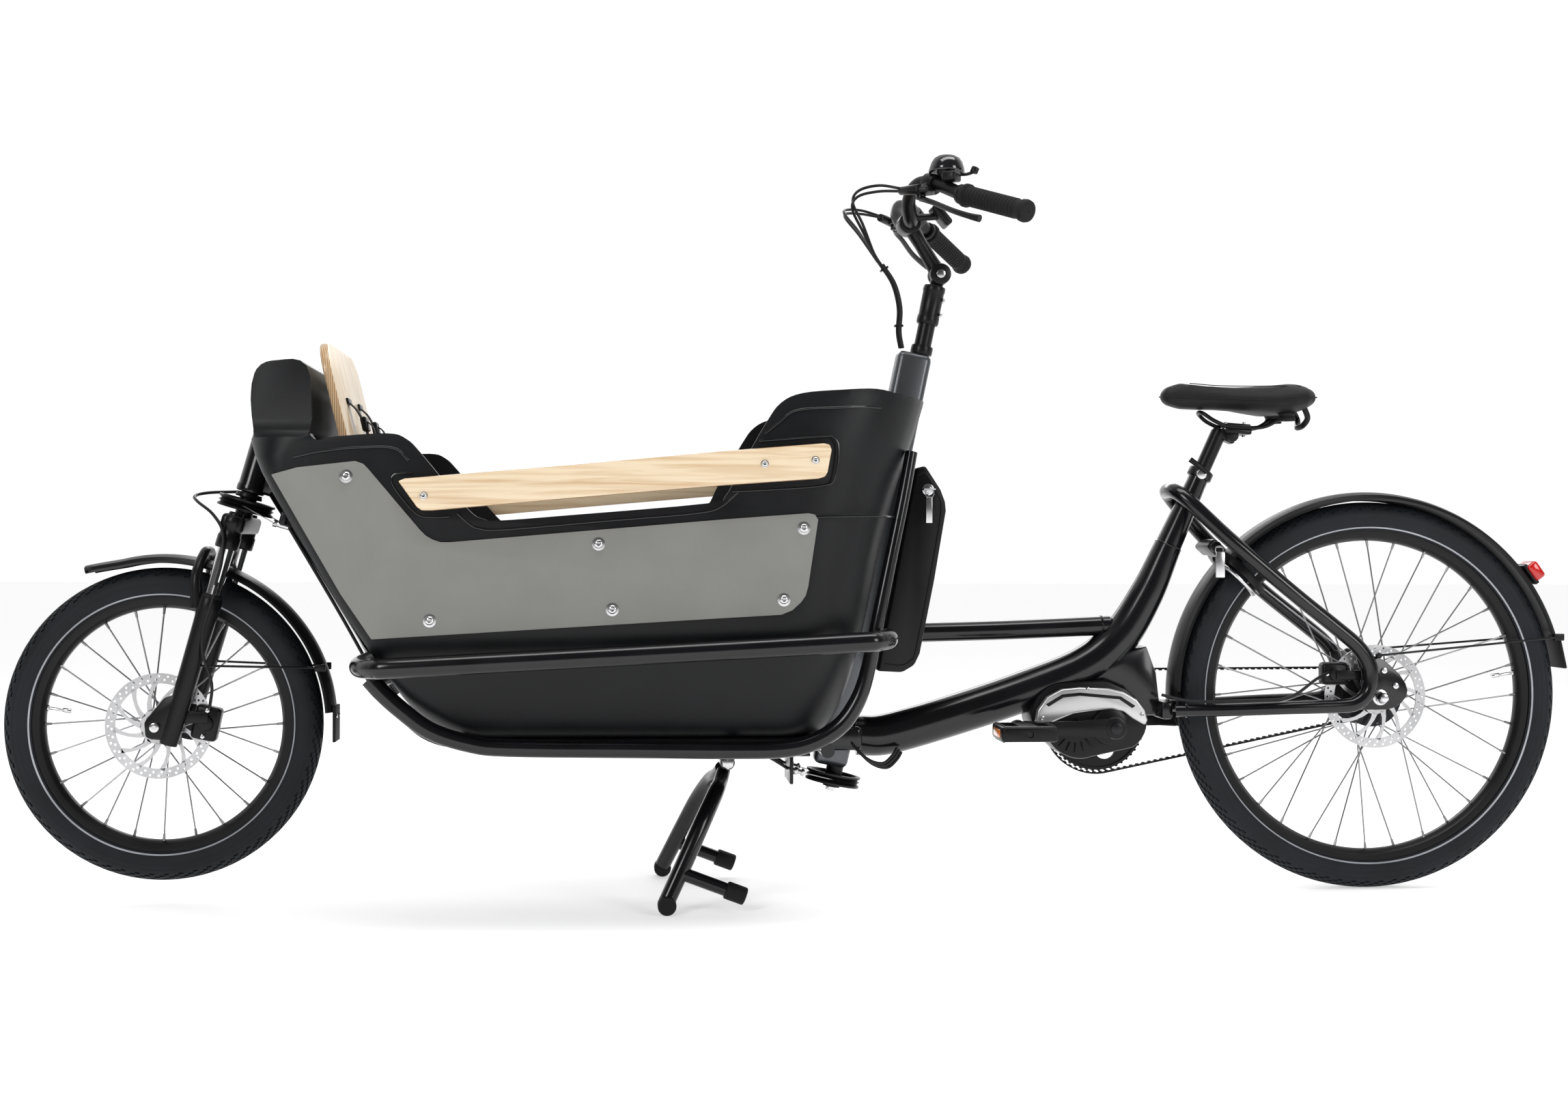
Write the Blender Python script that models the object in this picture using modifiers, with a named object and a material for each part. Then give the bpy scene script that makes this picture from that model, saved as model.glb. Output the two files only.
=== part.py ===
"""Front-loading electric cargo bicycle, parked on its centre stand.

Metres. X runs to the rear, Y to the bicycle's right, Z up, and the floor is Z = 0.
The side with the brake rotors is at -Y and the belt drive is at +Y.
"""

import math

import bmesh
import bpy
from mathutils import Matrix, Vector

# ---------------------------------------------------------------- driving dimensions
CENTRING = 0.0055            # moves the whole bicycle so that the origin is the middle of its length
GAP = 0.0003                 # left between pieces that touch
REAR_AXLE = Vector((0.965, 0.0, 0.3325))
FRONT_AXLE = Vector((-1.0670, 0.0, 0.2900))
REAR_TYRE_R = 0.3325
FRONT_TYRE_R = 0.2575
TYRE_HALF_WIDTH = 0.0273
BRACKET = Vector((0.503, 0.0, 0.2840))       # crank axis
CRANK_LENGTH = 0.165
FRONT_SPROCKET_R = 0.0875
REAR_SPROCKET_R = 0.0420
BELT_Y = 0.0500
BELT_HALF_WIDTH = 0.0050
FORK_TILT = math.radians(16.0)
FORK_POINT = Vector((-0.934, 0.0, 0.660))    # on the fork's steering axis
FORK_LEG_Y = 0.062
COLUMN_TILT = math.radians(11.65)
COLUMN_POINT = Vector((0.192, 0.0, 0.934))   # on the handlebar's steering axis
COLUMN_OFFSET = -0.0110      # the aluminium section sits this far in front of the steering axis
SEAT_TILT = math.radians(24.3)
SEAT_POINT = Vector((0.676, 0.0, 0.720))     # on the seat post's axis, at the clamp
STEM_PIVOT = Vector((0.219, 0.0, 1.048))
STAND_PIVOT = Vector((-0.141, 0.0, 0.225))
TUB_HALF_WIDTH = 0.335
TUB_WALL = 0.012
HOOP_Y = 0.262
HOOP_R = 0.014
RAIL_R = 0.0155
RAIL_Y = 0.3520


def up(tilt):
    """Unit vector that leans to the rear by this tilt."""
    return Vector((math.sin(tilt), 0.0, math.cos(tilt)))


FORK_UP = up(FORK_TILT)
COLUMN_UP = up(COLUMN_TILT)
SEAT_UP = up(SEAT_TILT)
SIDES = (("left", -1.0), ("right", 1.0))

# ---------------------------------------------------------------- scene and materials
for old in list(bpy.data.objects):
    bpy.data.objects.remove(old, do_unlink=True)

PARTS = bpy.data.collections.new("cargo_bicycle")
CUTTERS = bpy.data.collections.new("cutters")
bpy.context.scene.collection.children.link(PARTS)
bpy.context.scene.collection.children.link(CUTTERS)
ROOT = bpy.data.objects.new("cargo_bicycle_origin", None)
ROOT.location = (CENTRING, 0.0, 0.0)
PARTS.objects.link(ROOT)


def material(name, colour, roughness, metallic=0.0):
    made = bpy.data.materials.new(name)
    made.use_nodes = True
    shader = made.node_tree.nodes["Principled BSDF"]
    shader.inputs["Base Color"].default_value = (*colour, 1.0)
    shader.inputs["Roughness"].default_value = roughness
    shader.inputs["Metallic"].default_value = metallic
    return made


FRAME_BLACK = material("frame_black", (0.012, 0.012, 0.014), 0.28)
TUB_BLACK = material("tub_black", (0.016, 0.017, 0.019), 0.55)
PANEL_GREY = material("panel_grey", (0.21, 0.21, 0.20), 0.60)
BIRCH = material("birch", (0.80, 0.62, 0.40), 0.45)
RUBBER = material("rubber", (0.015, 0.016, 0.020), 0.80)
BLACK_PLASTIC = material("black_plastic", (0.014, 0.014, 0.016), 0.40)
BLACK_METAL = material("black_metal", (0.015, 0.015, 0.017), 0.35, 0.6)
SILVER = material("silver", (0.62, 0.62, 0.63), 0.30, 0.9)
STEEL = material("steel", (0.55, 0.55, 0.56), 0.25, 1.0)
COLUMN_GREY = material("column_grey", (0.12, 0.13, 0.15), 0.35, 0.7)
LEATHER = material("leather", (0.014, 0.014, 0.015), 0.55)
RED = material("red", (0.55, 0.01, 0.01), 0.20)


# ---------------------------------------------------------------- modelling helpers
def keep(obj, name, finish, smooth=True):
    """Names a finished piece, gives it its material and puts it under the bicycle's origin."""
    obj.name = name
    obj.data.name = name
    obj.data.materials.clear()
    obj.data.materials.append(finish)
    for other in list(obj.users_collection):
        other.objects.unlink(obj)
    PARTS.objects.link(obj)
    obj.parent = ROOT
    if smooth and obj.type == "MESH":
        obj.data.shade_smooth()
        obj.data.set_sharp_from_angle(angle=math.radians(35.0))
    return obj


def from_bmesh(shape, name="shape"):
    mesh = bpy.data.meshes.new(name)
    bmesh.ops.recalc_face_normals(shape, faces=shape.faces)
    shape.to_mesh(mesh)
    shape.free()
    obj = bpy.data.objects.new(name, mesh)
    CUTTERS.objects.link(obj)
    return obj


def applied(obj):
    """The object with its modifiers applied, as a mesh with welded caps in world space."""
    bpy.context.view_layer.update()
    graph = bpy.context.evaluated_depsgraph_get()
    mesh = bpy.data.meshes.new_from_object(obj.evaluated_get(graph))
    mesh.transform(obj.matrix_world)
    shape = bmesh.new()
    shape.from_mesh(mesh)
    bmesh.ops.remove_doubles(shape, verts=shape.verts, dist=0.00001)
    bpy.data.meshes.remove(mesh)
    bpy.data.objects.remove(obj, do_unlink=True)
    return from_bmesh(shape)


def boolean(base, other, operation):
    """Joins or cuts two meshes and removes the second."""
    step = base.modifiers.new(operation.lower(), "BOOLEAN")
    step.operation = operation
    step.solver = "EXACT"
    step.object = other
    made = applied(base)
    bpy.data.objects.remove(other, do_unlink=True)
    return made


def join(*shapes):
    made = shapes[0]
    for other in shapes[1:]:
        made = boolean(made, other, "UNION")
    return made


def cut(base, *tools):
    for tool in tools:
        base = boolean(base, tool, "DIFFERENCE")
    return base


def rod(start, end, radius, end_radius=None, sides=12):
    """A round bar between two points, or a cone when the end has its own radius."""
    start = Vector(start)
    end = Vector(end)
    along = end - start
    shape = bmesh.new()
    bmesh.ops.create_cone(
        shape, cap_ends=True, segments=sides, radius1=radius,
        radius2=radius if end_radius is None else end_radius, depth=along.length)
    turn = along.to_track_quat("Z", "Y").to_matrix().to_4x4()
    bmesh.ops.transform(shape, matrix=Matrix.Translation((start + end) / 2.0) @ turn, verts=shape.verts)
    return from_bmesh(shape)


def block(centre, size, tilt=0.0, bevel=0.0):
    """A box of this size, turned about Y by tilt, with its edges rounded by bevel."""
    shape = bmesh.new()
    bmesh.ops.create_cube(shape, size=1.0)
    bmesh.ops.scale(shape, vec=size, verts=shape.verts)
    if bevel:
        bmesh.ops.bevel(shape, geom=shape.edges[:], offset=bevel, segments=1, affect="EDGES")
    place = Matrix.Translation(centre) @ Matrix.Rotation(tilt, 4, "Y")
    bmesh.ops.transform(shape, matrix=place, verts=shape.verts)
    return from_bmesh(shape)


def smooth_path(points, per_span):
    """Points on a Catmull-Rom curve through the given ones."""
    points = [Vector(p) for p in points]
    ends = [2 * points[0] - points[1], *points, 2 * points[-1] - points[-2]]
    path = []
    for i in range(1, len(ends) - 2):
        a, b, c, d = ends[i - 1:i + 3]
        for k in range(per_span):
            t = k / per_span
            path.append(0.5 * (2 * b + (c - a) * t + (2 * a - 5 * b + 4 * c - d) * t * t
                               + (3 * b - a - 3 * c + d) * t ** 3))
    path.append(points[-1])
    return path


def tube(points, radius, resolution=2, per_span=2, radii=None):
    """A tube along a smooth curve through the points, as a welded mesh."""
    path = smooth_path(points, per_span) if per_span > 1 else [Vector(p) for p in points]
    data = bpy.data.curves.new("tube", "CURVE")
    data.dimensions = "3D"
    spline = data.splines.new("POLY")
    spline.points.add(len(path) - 1)
    for i, place in enumerate(path):
        spline.points[i].co = (*place, 1.0)
        if radii:
            share = i / (len(path) - 1) * (len(radii) - 1)
            low = min(int(share), len(radii) - 2)
            spline.points[i].radius = radii[low] + (radii[low + 1] - radii[low]) * (share - low)
    data.bevel_depth = radius
    data.bevel_resolution = resolution
    data.use_fill_caps = True
    obj = bpy.data.objects.new("tube", data)
    CUTTERS.objects.link(obj)
    return applied(obj)


def slab(outline, thickness, place, holes=()):
    """A flat plate in the XY plane of the matrix, from an outline and round holes."""
    data = bpy.data.curves.new("slab", "CURVE")
    data.dimensions = "2D"
    data.fill_mode = "BOTH"
    data.extrude = thickness / 2.0
    rings = [list(outline)]
    for x, z, radius, count in holes:
        rings.append([(x + radius * math.cos(math.tau * i / count),
                       z + radius * math.sin(math.tau * i / count)) for i in range(count)])
    for ring in rings:
        spline = data.splines.new("POLY")
        spline.points.add(len(ring) - 1)
        for i, (x, z) in enumerate(ring):
            spline.points[i].co = (x, z, 0.0, 1.0)
        spline.use_cyclic_u = True
    obj = bpy.data.objects.new("slab", data)
    obj.matrix_world = place
    CUTTERS.objects.link(obj)
    return applied(obj)


def plate(outline, y, thickness, holes=()):
    """A flat plate across Y: the outline and round holes lie in the XZ plane."""
    return slab(outline, thickness, Matrix.Translation((0.0, y, 0.0)) @ Matrix.Rotation(math.pi / 2.0, 4,
                                                                                        "X"),
                holes)


def turned(profile, centre, axis, steps):
    """A turned ring or disc: the profile is closed, as (radius, distance along the axis)."""
    data = bpy.data.meshes.new("profile")
    shape = bmesh.new()
    corners = [shape.verts.new((r, 0.0, h)) for r, h in profile]
    for i, corner in enumerate(corners):
        shape.edges.new((corner, corners[(i + 1) % len(corners)]))
    shape.to_mesh(data)
    shape.free()
    obj = bpy.data.objects.new("profile", data)
    CUTTERS.objects.link(obj)
    screw = obj.modifiers.new("turn", "SCREW")
    screw.steps = steps
    screw.render_steps = steps
    screw.use_merge_vertices = True
    screw.merge_threshold = 0.00001
    obj.matrix_world = (Matrix.Translation(centre)
                        @ Vector(axis).to_track_quat("Z", "Y").to_matrix().to_4x4())
    return applied(obj)


def mirrored(points, side):
    return [(x, side * y, z) for x, y, z in points]


def round_outline(centre_x, centre_z, radius, start, end, steps):
    """Points of an arc, angles in degrees from +X towards +Z."""
    return [(centre_x + radius * math.cos(math.radians(start + (end - start) * i / steps)),
             centre_z + radius * math.sin(math.radians(start + (end - start) * i / steps)))
            for i in range(steps + 1)]


def fender(axle, radius, half_width, start, end, steps):
    """A mudguard: a shallow arched section spun about the axle and given a wall."""
    shape = bmesh.new()
    section = [(-half_width, -0.014), (-0.6 * half_width, -0.003), (0.0, 0.0),
               (0.6 * half_width, -0.003), (half_width, -0.014)]
    first = math.radians(start)
    out = Vector((math.cos(first), 0.0, math.sin(first)))
    corners = [shape.verts.new(axle + out * (radius + drop) + Vector((0.0, y, 0.0)))
               for y, drop in section]
    edges = [shape.edges.new(pair) for pair in zip(corners, corners[1:])]
    bmesh.ops.spin(shape, geom=corners + edges, cent=axle, axis=(0.0, -1.0, 0.0),
                   angle=math.radians(end - start), steps=steps)
    obj = from_bmesh(shape)
    wall = obj.modifiers.new("wall", "SOLIDIFY")
    wall.thickness = 0.0022
    wall.offset = 0.0
    return applied(obj)


def on(axis_point, direction, along, y=0.0, across=0.0):
    """A point along a tilted axis; across is measured square to it, towards the rear."""
    square = Vector((direction.z, 0.0, -direction.x))
    return axis_point + direction * along + square * across + Vector((0.0, y, 0.0))


# ---------------------------------------------------------------- wheels
def tyre(name, axle, outer):
    ring = outer - TYRE_HALF_WIDTH
    profile = []
    for i in range(11):
        angle = math.radians(-48.0 + 276.0 * i / 10)
        profile.append((ring + TYRE_HALF_WIDTH * math.sin(angle), TYRE_HALF_WIDTH * math.cos(angle)))
    keep(turned(profile, axle, (0.0, 1.0, 0.0), 36), name, RUBBER)


def laced_wheel(name, axle, outer, flange_r, flange_y, bore, count, finish):
    """A rim laced to its hub: every second spoke leans the other way from the flange."""
    bead = outer - 1.744 * TYRE_HALF_WIDTH
    section = [(bead - GAP, 0.0150), (bead - GAP, -0.0150), (bead - 0.012, -0.0150),
               (bead - 0.017, -0.0090), (bead - 0.017, 0.0090), (bead - 0.012, 0.0150)]
    made = turned(section, axle, (0.0, 1.0, 0.0), 36)
    barrel = 0.72 * flange_r
    profile = [(bore, -flange_y - 0.006), (0.6 * flange_r, -flange_y - 0.006), (flange_r, -flange_y),
               (flange_r, -flange_y + 0.004), (barrel, -flange_y + 0.008), (barrel, flange_y - 0.008),
               (flange_r, flange_y - 0.004), (flange_r, flange_y), (0.6 * flange_r, flange_y + 0.006),
               (bore, flange_y + 0.006)]
    hub = turned(profile, axle, (0.0, 1.0, 0.0), 20)
    for i in range(count):
        side = 1.0 if i % 2 else -1.0
        lean = math.radians(34.0) if (i // 2) % 2 else math.radians(-34.0)
        foot = math.tau * i / count
        root = foot + lean
        outboard = 0.0017 if lean > 0.0 else -0.0017
        inner = Vector((math.cos(root), 0.0, math.sin(root))) * (flange_r - 0.004)
        inner.y = side * (flange_y - 0.002 + outboard)
        rimward = Vector((math.cos(foot), 0.0, math.sin(foot))) * (bead - 0.0125)
        rimward.y = side * (0.004 + outboard)
        hub = join(hub, rod(axle + inner, axle + rimward, 0.0014, sides=3))
    keep(join(made, hub), name, finish)


def rotor(name, axle, y, radius):
    """A brake rotor with six windows round its hub hole."""
    holes = [(axle.x, axle.z, 0.0115, 12)]
    for i in range(6):
        angle = math.tau * i / 6
        holes.append((axle.x + 0.048 * math.cos(angle), axle.z + 0.048 * math.sin(angle), 0.0175, 8))
    outline = [(axle.x + radius * math.cos(math.tau * i / 28),
                axle.z + radius * math.sin(math.tau * i / 28))
               for i in range(28)]
    keep(plate(outline, y, 0.0018, holes=holes), name, STEEL, smooth=False)


tyre("rear_tyre", REAR_AXLE, REAR_TYRE_R)
tyre("front_tyre", FRONT_AXLE, FRONT_TYRE_R)
laced_wheel("rear_wheel", REAR_AXLE, REAR_TYRE_R, 0.052, 0.030, 0.0070, 32, BLACK_METAL)
laced_wheel("front_wheel", FRONT_AXLE, FRONT_TYRE_R, 0.027, 0.030, 0.0070, 24, BLACK_METAL)
ROTOR_Y = -0.0445
rotor("rear_rotor", REAR_AXLE, ROTOR_Y, 0.088)
rotor("front_rotor", FRONT_AXLE, ROTOR_Y, 0.086)


# ---------------------------------------------------------------- rear frame
MAIN_PATH = [(0.0780, 0.0, 0.266), (0.133, 0.0, 0.268), (0.250, 0.0, 0.301), (0.368, 0.0, 0.340),
             (0.470, 0.0, 0.381), (0.533, 0.0, 0.433), (0.580, 0.0, 0.508), (0.6165, 0.0, 0.5885)]
MAIN_RADII = [0.034, 0.035, 0.035, 0.035, 0.035, 0.033, 0.029, 0.0235]
SEAT_TUBE_LENGTH = 0.142
POST_R = 0.0136
SEAT_BORE_R = 0.0141


def main_frame():
    """Main tube, seat tube, clamp, motor bracket and the column's foot, welded together."""
    main = tube(MAIN_PATH, 1.0, resolution=4, per_span=2, radii=MAIN_RADII)
    profile = [(0.0030, 0.0), (0.0030, -SEAT_TUBE_LENGTH - 0.004), (0.0225, -SEAT_TUBE_LENGTH - 0.004),
               (0.0190, -0.065), (0.0172, -0.030), (0.0172, -0.0165), (0.0215, -0.0160), (0.0215, -0.0020),
               (0.0172, -0.0015), (0.0172, 0.0)]
    seat = turned(profile, SEAT_POINT, SEAT_UP, 16)
    gusset = [(0.490, 0.392), (0.515, 0.375), (0.573, 0.418), (0.590, 0.372), (0.597, 0.313),
              (0.585, 0.305), (0.560, 0.354), (0.520, 0.3735), (0.470, 0.366), (0.420, 0.364),
              (0.395, 0.352), (0.390, 0.345)]
    bracket = plate(gusset, 0.0, 0.050)
    bridge = block((0.6030, 0.0, 0.310), (0.020, 0.100, 0.030), bevel=0.004)
    half = HOOP_Y - HOOP_R - 0.0010
    bar = rod((0.0060, -half, 0.2640), (0.0060, half, 0.2640), 0.0110)
    boss = block((0.0350, 0.0, 0.2640), (0.100, 0.090, 0.040), bevel=0.004)
    hole = block(on(COLUMN_POINT, COLUMN_UP, -0.68, across=COLUMN_OFFSET), (0.0590, 0.0480, 0.20),
                 tilt=COLUMN_TILT)
    made = join(main, seat, bracket, bridge, boss, bar)
    bore = rod(on(SEAT_POINT, SEAT_UP, -SEAT_TUBE_LENGTH + 0.006), on(SEAT_POINT, SEAT_UP, 0.02),
               SEAT_BORE_R,
               sides=16)
    keep(cut(made, hole, bore), "main_frame", FRAME_BLACK)
    upper = tube([(0.112, 0.0, 0.438), (0.330, 0.0, 0.444), (0.5020, 0.0, 0.4515)], 0.0165, per_span=1)
    around = tube(MAIN_PATH, 1.0, resolution=4, per_span=2, radii=[r + 0.0006 for r in MAIN_RADII])
    keep(cut(upper, around), "upper_tube", FRAME_BLACK)


main_frame()

STAY_Y = 0.080
STAY_R = 0.0128
STAY_SIDE = [(0.632, 0.040, 0.672), (0.700, 0.068, 0.603), (0.761, 0.076, 0.550), (0.821, STAY_Y, 0.500),
             (0.880, STAY_Y, 0.454), (0.921, STAY_Y, 0.420), (0.941, STAY_Y, 0.390), (0.944, STAY_Y, 0.362)]


def caliper(centre, size, axle, disc_r):
    """A brake caliper: a block with a slot that the rotor runs in."""
    made = block(centre, size, bevel=0.003)
    slot = rod(axle + Vector((0.0, ROTOR_Y - 0.0022, 0.0)), axle + Vector((0.0, ROTOR_Y + 0.0022, 0.0)),
               disc_r, sides=28)
    return cut(made, slot)


def stays():
    left = mirrored(STAY_SIDE, -1.0)
    loop = [*reversed(left), (0.6185, 0.0, 0.683), *mirrored(STAY_SIDE, 1.0)]
    keep(tube(loop, STAY_R, per_span=2), "seat_stay_loop", FRAME_BLACK)
    for word, side in SIDES:
        bend = [(0.9425, STAY_Y, 0.3570), (0.937, STAY_Y, 0.339), (0.920, STAY_Y, 0.324),
                (0.892, STAY_Y, 0.319), (0.800, STAY_Y, 0.316), (0.700, 0.070, 0.312),
                (0.6150, 0.0560, 0.310)]
        made = tube(mirrored(bend, side), 1.0, per_span=2, radii=[STAY_R, 0.0125, 0.011, 0.0105])
        outline = [(0.930, 0.404), (0.955, 0.403), (0.985, 0.385), (1.010, 0.356), (1.012, 0.334),
                   (1.002, 0.320), (0.975, 0.3120), (0.915, 0.3120), (0.930, 0.345)]
        weld = rod((0.9200, side * 0.0620, 0.3220), (0.9200, side * STAY_Y, 0.3220), 0.0060, sides=8)
        made = join(made, plate(outline, side * (STAY_Y - STAY_R - 0.0036), 0.0060), weld)
        axle = rod(REAR_AXLE + Vector((0.0, side * 0.0002, 0.0)),
                   REAR_AXLE + Vector((0.0, side * 0.094, 0.0)), 0.0060)
        made = join(made, axle)
        if side < 0.0:
            body = caliper(Vector((0.8920, ROTOR_Y, 0.3720)), (0.0460, 0.0300, 0.0380), REAR_AXLE, 0.0890)
            mount = block((0.9150, side * 0.0620, 0.3700), (0.0500, 0.0080, 0.0160))
            made = join(made, mount, body)
        keep(made, "chain_stay_" + word, FRAME_BLACK)


stays()

# ---------------------------------------------------------------- drive
SPINDLE_R = 0.0100


def motor():
    shell = [*round_outline(0.430, 0.297, 0.060, 190.0, 95.0, 5), (0.500, 0.3600), (0.535, 0.3450),
             *round_outline(0.520, 0.290, 0.050, 35.0, -60.0, 5),
             *round_outline(0.455, 0.285, 0.057, -70.0, -150.0, 4)]
    inset = [(0.466 + (x - 0.466) * 0.985, 0.292 + (z - 0.292) * 0.985) for x, z in shell]
    hole = [(BRACKET.x, BRACKET.z, SPINDLE_R + 0.0008, 12)]
    around = tube(MAIN_PATH, 1.0, resolution=4, per_span=2, radii=[r + 0.0006 for r in MAIN_RADII])
    casing = cut(plate(shell, -0.0030, 0.0840, holes=hole), around)
    keep(casing, "motor_casing", BLACK_PLASTIC, smooth=False)
    cover = plate([p for p in inset if p[1] > 0.276], -0.0525, 0.0140, holes=hole)
    keep(cover, "motor_cover", SILVER, smooth=False)


def crank(word, side):
    """The crank arm; the left one points forward and the right one to the rear."""
    tip = BRACKET.x + side * CRANK_LENGTH
    arm = join(
        rod((BRACKET.x, side * 0.0845, BRACKET.z), (BRACKET.x, side * 0.1000, BRACKET.z), 0.0190, 0.0170,
            sides=14),
        block(((BRACKET.x + tip) / 2.0, side * 0.0940, BRACKET.z), (CRANK_LENGTH, 0.0110, 0.0230),
              bevel=0.003),
        rod((tip, side * 0.0870, BRACKET.z), (tip, side * 0.1010, BRACKET.z), 0.0155, sides=14),
        rod((tip, side * 0.0960, BRACKET.z), (tip, side * 0.2000, BRACKET.z), 0.0050, sides=10))
    if side > 0.0:
        spindle = rod(BRACKET + Vector((0.0, -0.0840, 0.0)), BRACKET + Vector((0.0, 0.0900, 0.0)),
                      SPINDLE_R)
        arm = join(arm, spindle, sprocket(BRACKET, FRONT_SPROCKET_R, 0.0090))
    keep(arm, "crank_" + word, BLACK_METAL, smooth=False)
    body = block((tip, side * 0.1530, BRACKET.z), (0.092, 0.094, 0.026), bevel=0.005)
    body = cut(body, rod((tip, side * 0.0900, BRACKET.z), (tip, side * 0.2020, BRACKET.z), 0.0056,
                         sides=10),
               block((tip - 0.026, side * 0.1530, BRACKET.z), (0.022, 0.060, 0.040)),
               block((tip + 0.026, side * 0.1530, BRACKET.z), (0.022, 0.060, 0.040)))
    keep(body, "pedal_" + word, BLACK_PLASTIC, smooth=False)


def sprocket(centre, radius, bore):
    half = 0.0058
    profile = [(bore, -half), (radius - 0.0008, -half), (radius - 0.0008, half), (bore, half)]
    return turned(profile, centre + Vector((0.0, BELT_Y, 0.0)), (0.0, 1.0, 0.0), 32)


def belt():
    """The belt: two arcs about the sprockets and the two straight runs between them."""
    span = REAR_AXLE - BRACKET
    length = math.hypot(span.x, span.z)
    slope = math.degrees(math.atan2(span.z, span.x))
    lean = math.degrees(math.asin((FRONT_SPROCKET_R - REAR_SPROCKET_R) / length))

    def loop(extra):
        front = round_outline(BRACKET.x, BRACKET.z, FRONT_SPROCKET_R + extra,
                              slope + 90.0 - lean, slope + 270.0 + lean, 20)
        rear = round_outline(REAR_AXLE.x, REAR_AXLE.z, REAR_SPROCKET_R + extra,
                             slope - 90.0 + lean, slope + 90.0 - lean, 10)
        return front + rear

    outer = plate(loop(0.0042), BELT_Y, 2 * BELT_HALF_WIDTH)
    inner = plate(loop(0.0002), BELT_Y, 4 * BELT_HALF_WIDTH)
    keep(cut(outer, inner), "drive_belt", RUBBER, smooth=False)


motor()
for side_word, side_sign in SIDES:
    crank(side_word, side_sign)
keep(sprocket(REAR_AXLE, REAR_SPROCKET_R, 0.0066), "rear_sprocket", BLACK_METAL)
belt()


# ---------------------------------------------------------------- column, head tube and cradle
SHAFT_R = 0.0145
PULLEY_R = 0.0465


def pulley(centre, direction):
    """A grooved wheel for the two steering wires."""
    bore, radius = 0.0120, PULLEY_R
    profile = [(bore, -0.0095), (radius, -0.0095), (radius, -0.0060), (radius - 0.005, -0.0030),
               (radius, 0.0), (radius - 0.005, 0.0030), (radius, 0.0060), (radius, 0.0095), (bore, 0.0095)]
    return turned(profile, centre, direction, 24)


def column():
    """The aluminium column, an eight-sided section with a bore for the steering shaft."""
    shape = bmesh.new()
    half_x, half_y, chamfer = 0.0290, 0.0235, 0.0110
    ring = [(half_x, half_y - chamfer), (half_x - chamfer, half_y), (-half_x + chamfer, half_y),
            (-half_x, half_y - chamfer), (-half_x, -half_y + chamfer), (-half_x + chamfer, -half_y),
            (half_x - chamfer, -half_y), (half_x, -half_y + chamfer)]
    face = shape.faces.new([shape.verts.new((x + COLUMN_OFFSET, y, 0.0)) for x, y in ring])
    pushed = bmesh.ops.extrude_face_region(shape, geom=[face])
    bmesh.ops.translate(shape, vec=(0.0, 0.0, 0.712),
                        verts=[v for v in pushed["geom"] if isinstance(v, bmesh.types.BMVert)])
    foot = on(COLUMN_POINT, COLUMN_UP, -0.7350)
    place = Matrix.Translation(foot) @ Matrix.Rotation(COLUMN_TILT, 4, "Y")
    bmesh.ops.transform(shape, matrix=place, verts=shape.verts)
    bore = rod(on(COLUMN_POINT, COLUMN_UP, -0.76), on(COLUMN_POINT, COLUMN_UP, 0.02), SHAFT_R + 0.0006,
               sides=16)
    keep(cut(from_bmesh(shape), bore), "steering_column", COLUMN_GREY, smooth=False)
    shaft = rod(on(COLUMN_POINT, COLUMN_UP, -0.7700), on(COLUMN_POINT, COLUMN_UP, 0.0850), SHAFT_R,
                sides=14)
    ring = turned([(SHAFT_R - 0.003, -0.0220), (0.0185, -0.0220), (0.0185, -0.0080),
                   (SHAFT_R - 0.003, -0.0080)],
                  COLUMN_POINT, COLUMN_UP, 16)
    wheel = pulley(on(COLUMN_POINT, COLUMN_UP, -0.7550), COLUMN_UP)
    keep(join(shaft, ring, wheel), "steering_shaft", BLACK_METAL)


def head():
    """The front head tube, the down tube under it and the two cable stops, welded together."""
    profile = [(0.0151, 0.0120), (0.0220, 0.0120), (0.0220, 0.1550), (0.0151, 0.1550)]
    made = turned(profile, FORK_POINT, FORK_UP, 16)
    path = [on(FORK_POINT, FORK_UP, 0.0300, across=0.0420), (-0.838, 0.0, 0.600), (-0.772, 0.0, 0.494),
            (-0.700, 0.0, 0.376), (-0.678, 0.0, 0.345)]
    down = join(tube(path, 0.0180, per_span=2),
                block(on(FORK_POINT, FORK_UP, 0.0350, across=0.0300), (0.026, 0.024, 0.040),
                      tilt=FORK_TILT))
    stops = [block(on(FORK_POINT, FORK_UP, -0.0120, side * 0.0340, 0.0730), (0.0120, 0.0470, 0.0220),
                   tilt=FORK_TILT)
             for side in (-1.0, 1.0)]
    keep(join(made, down, *stops), "front_head_tube", FRAME_BLACK)


FRONT_CORNER = [(-0.7200, 0.1200, 0.3990), (-0.7190, 0.2400, 0.3990), (-0.7080, 0.3050, 0.3990),
                (-0.6800, 0.3400, 0.4000), (-0.6400, RAIL_Y, 0.4025)]
REAR_CORNER = [(0.0300, RAIL_Y, 0.4388), (0.0680, 0.3400, 0.4410), (0.0900, 0.3150, 0.4425),
               (0.0960, 0.2800, 0.4430)]


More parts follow.
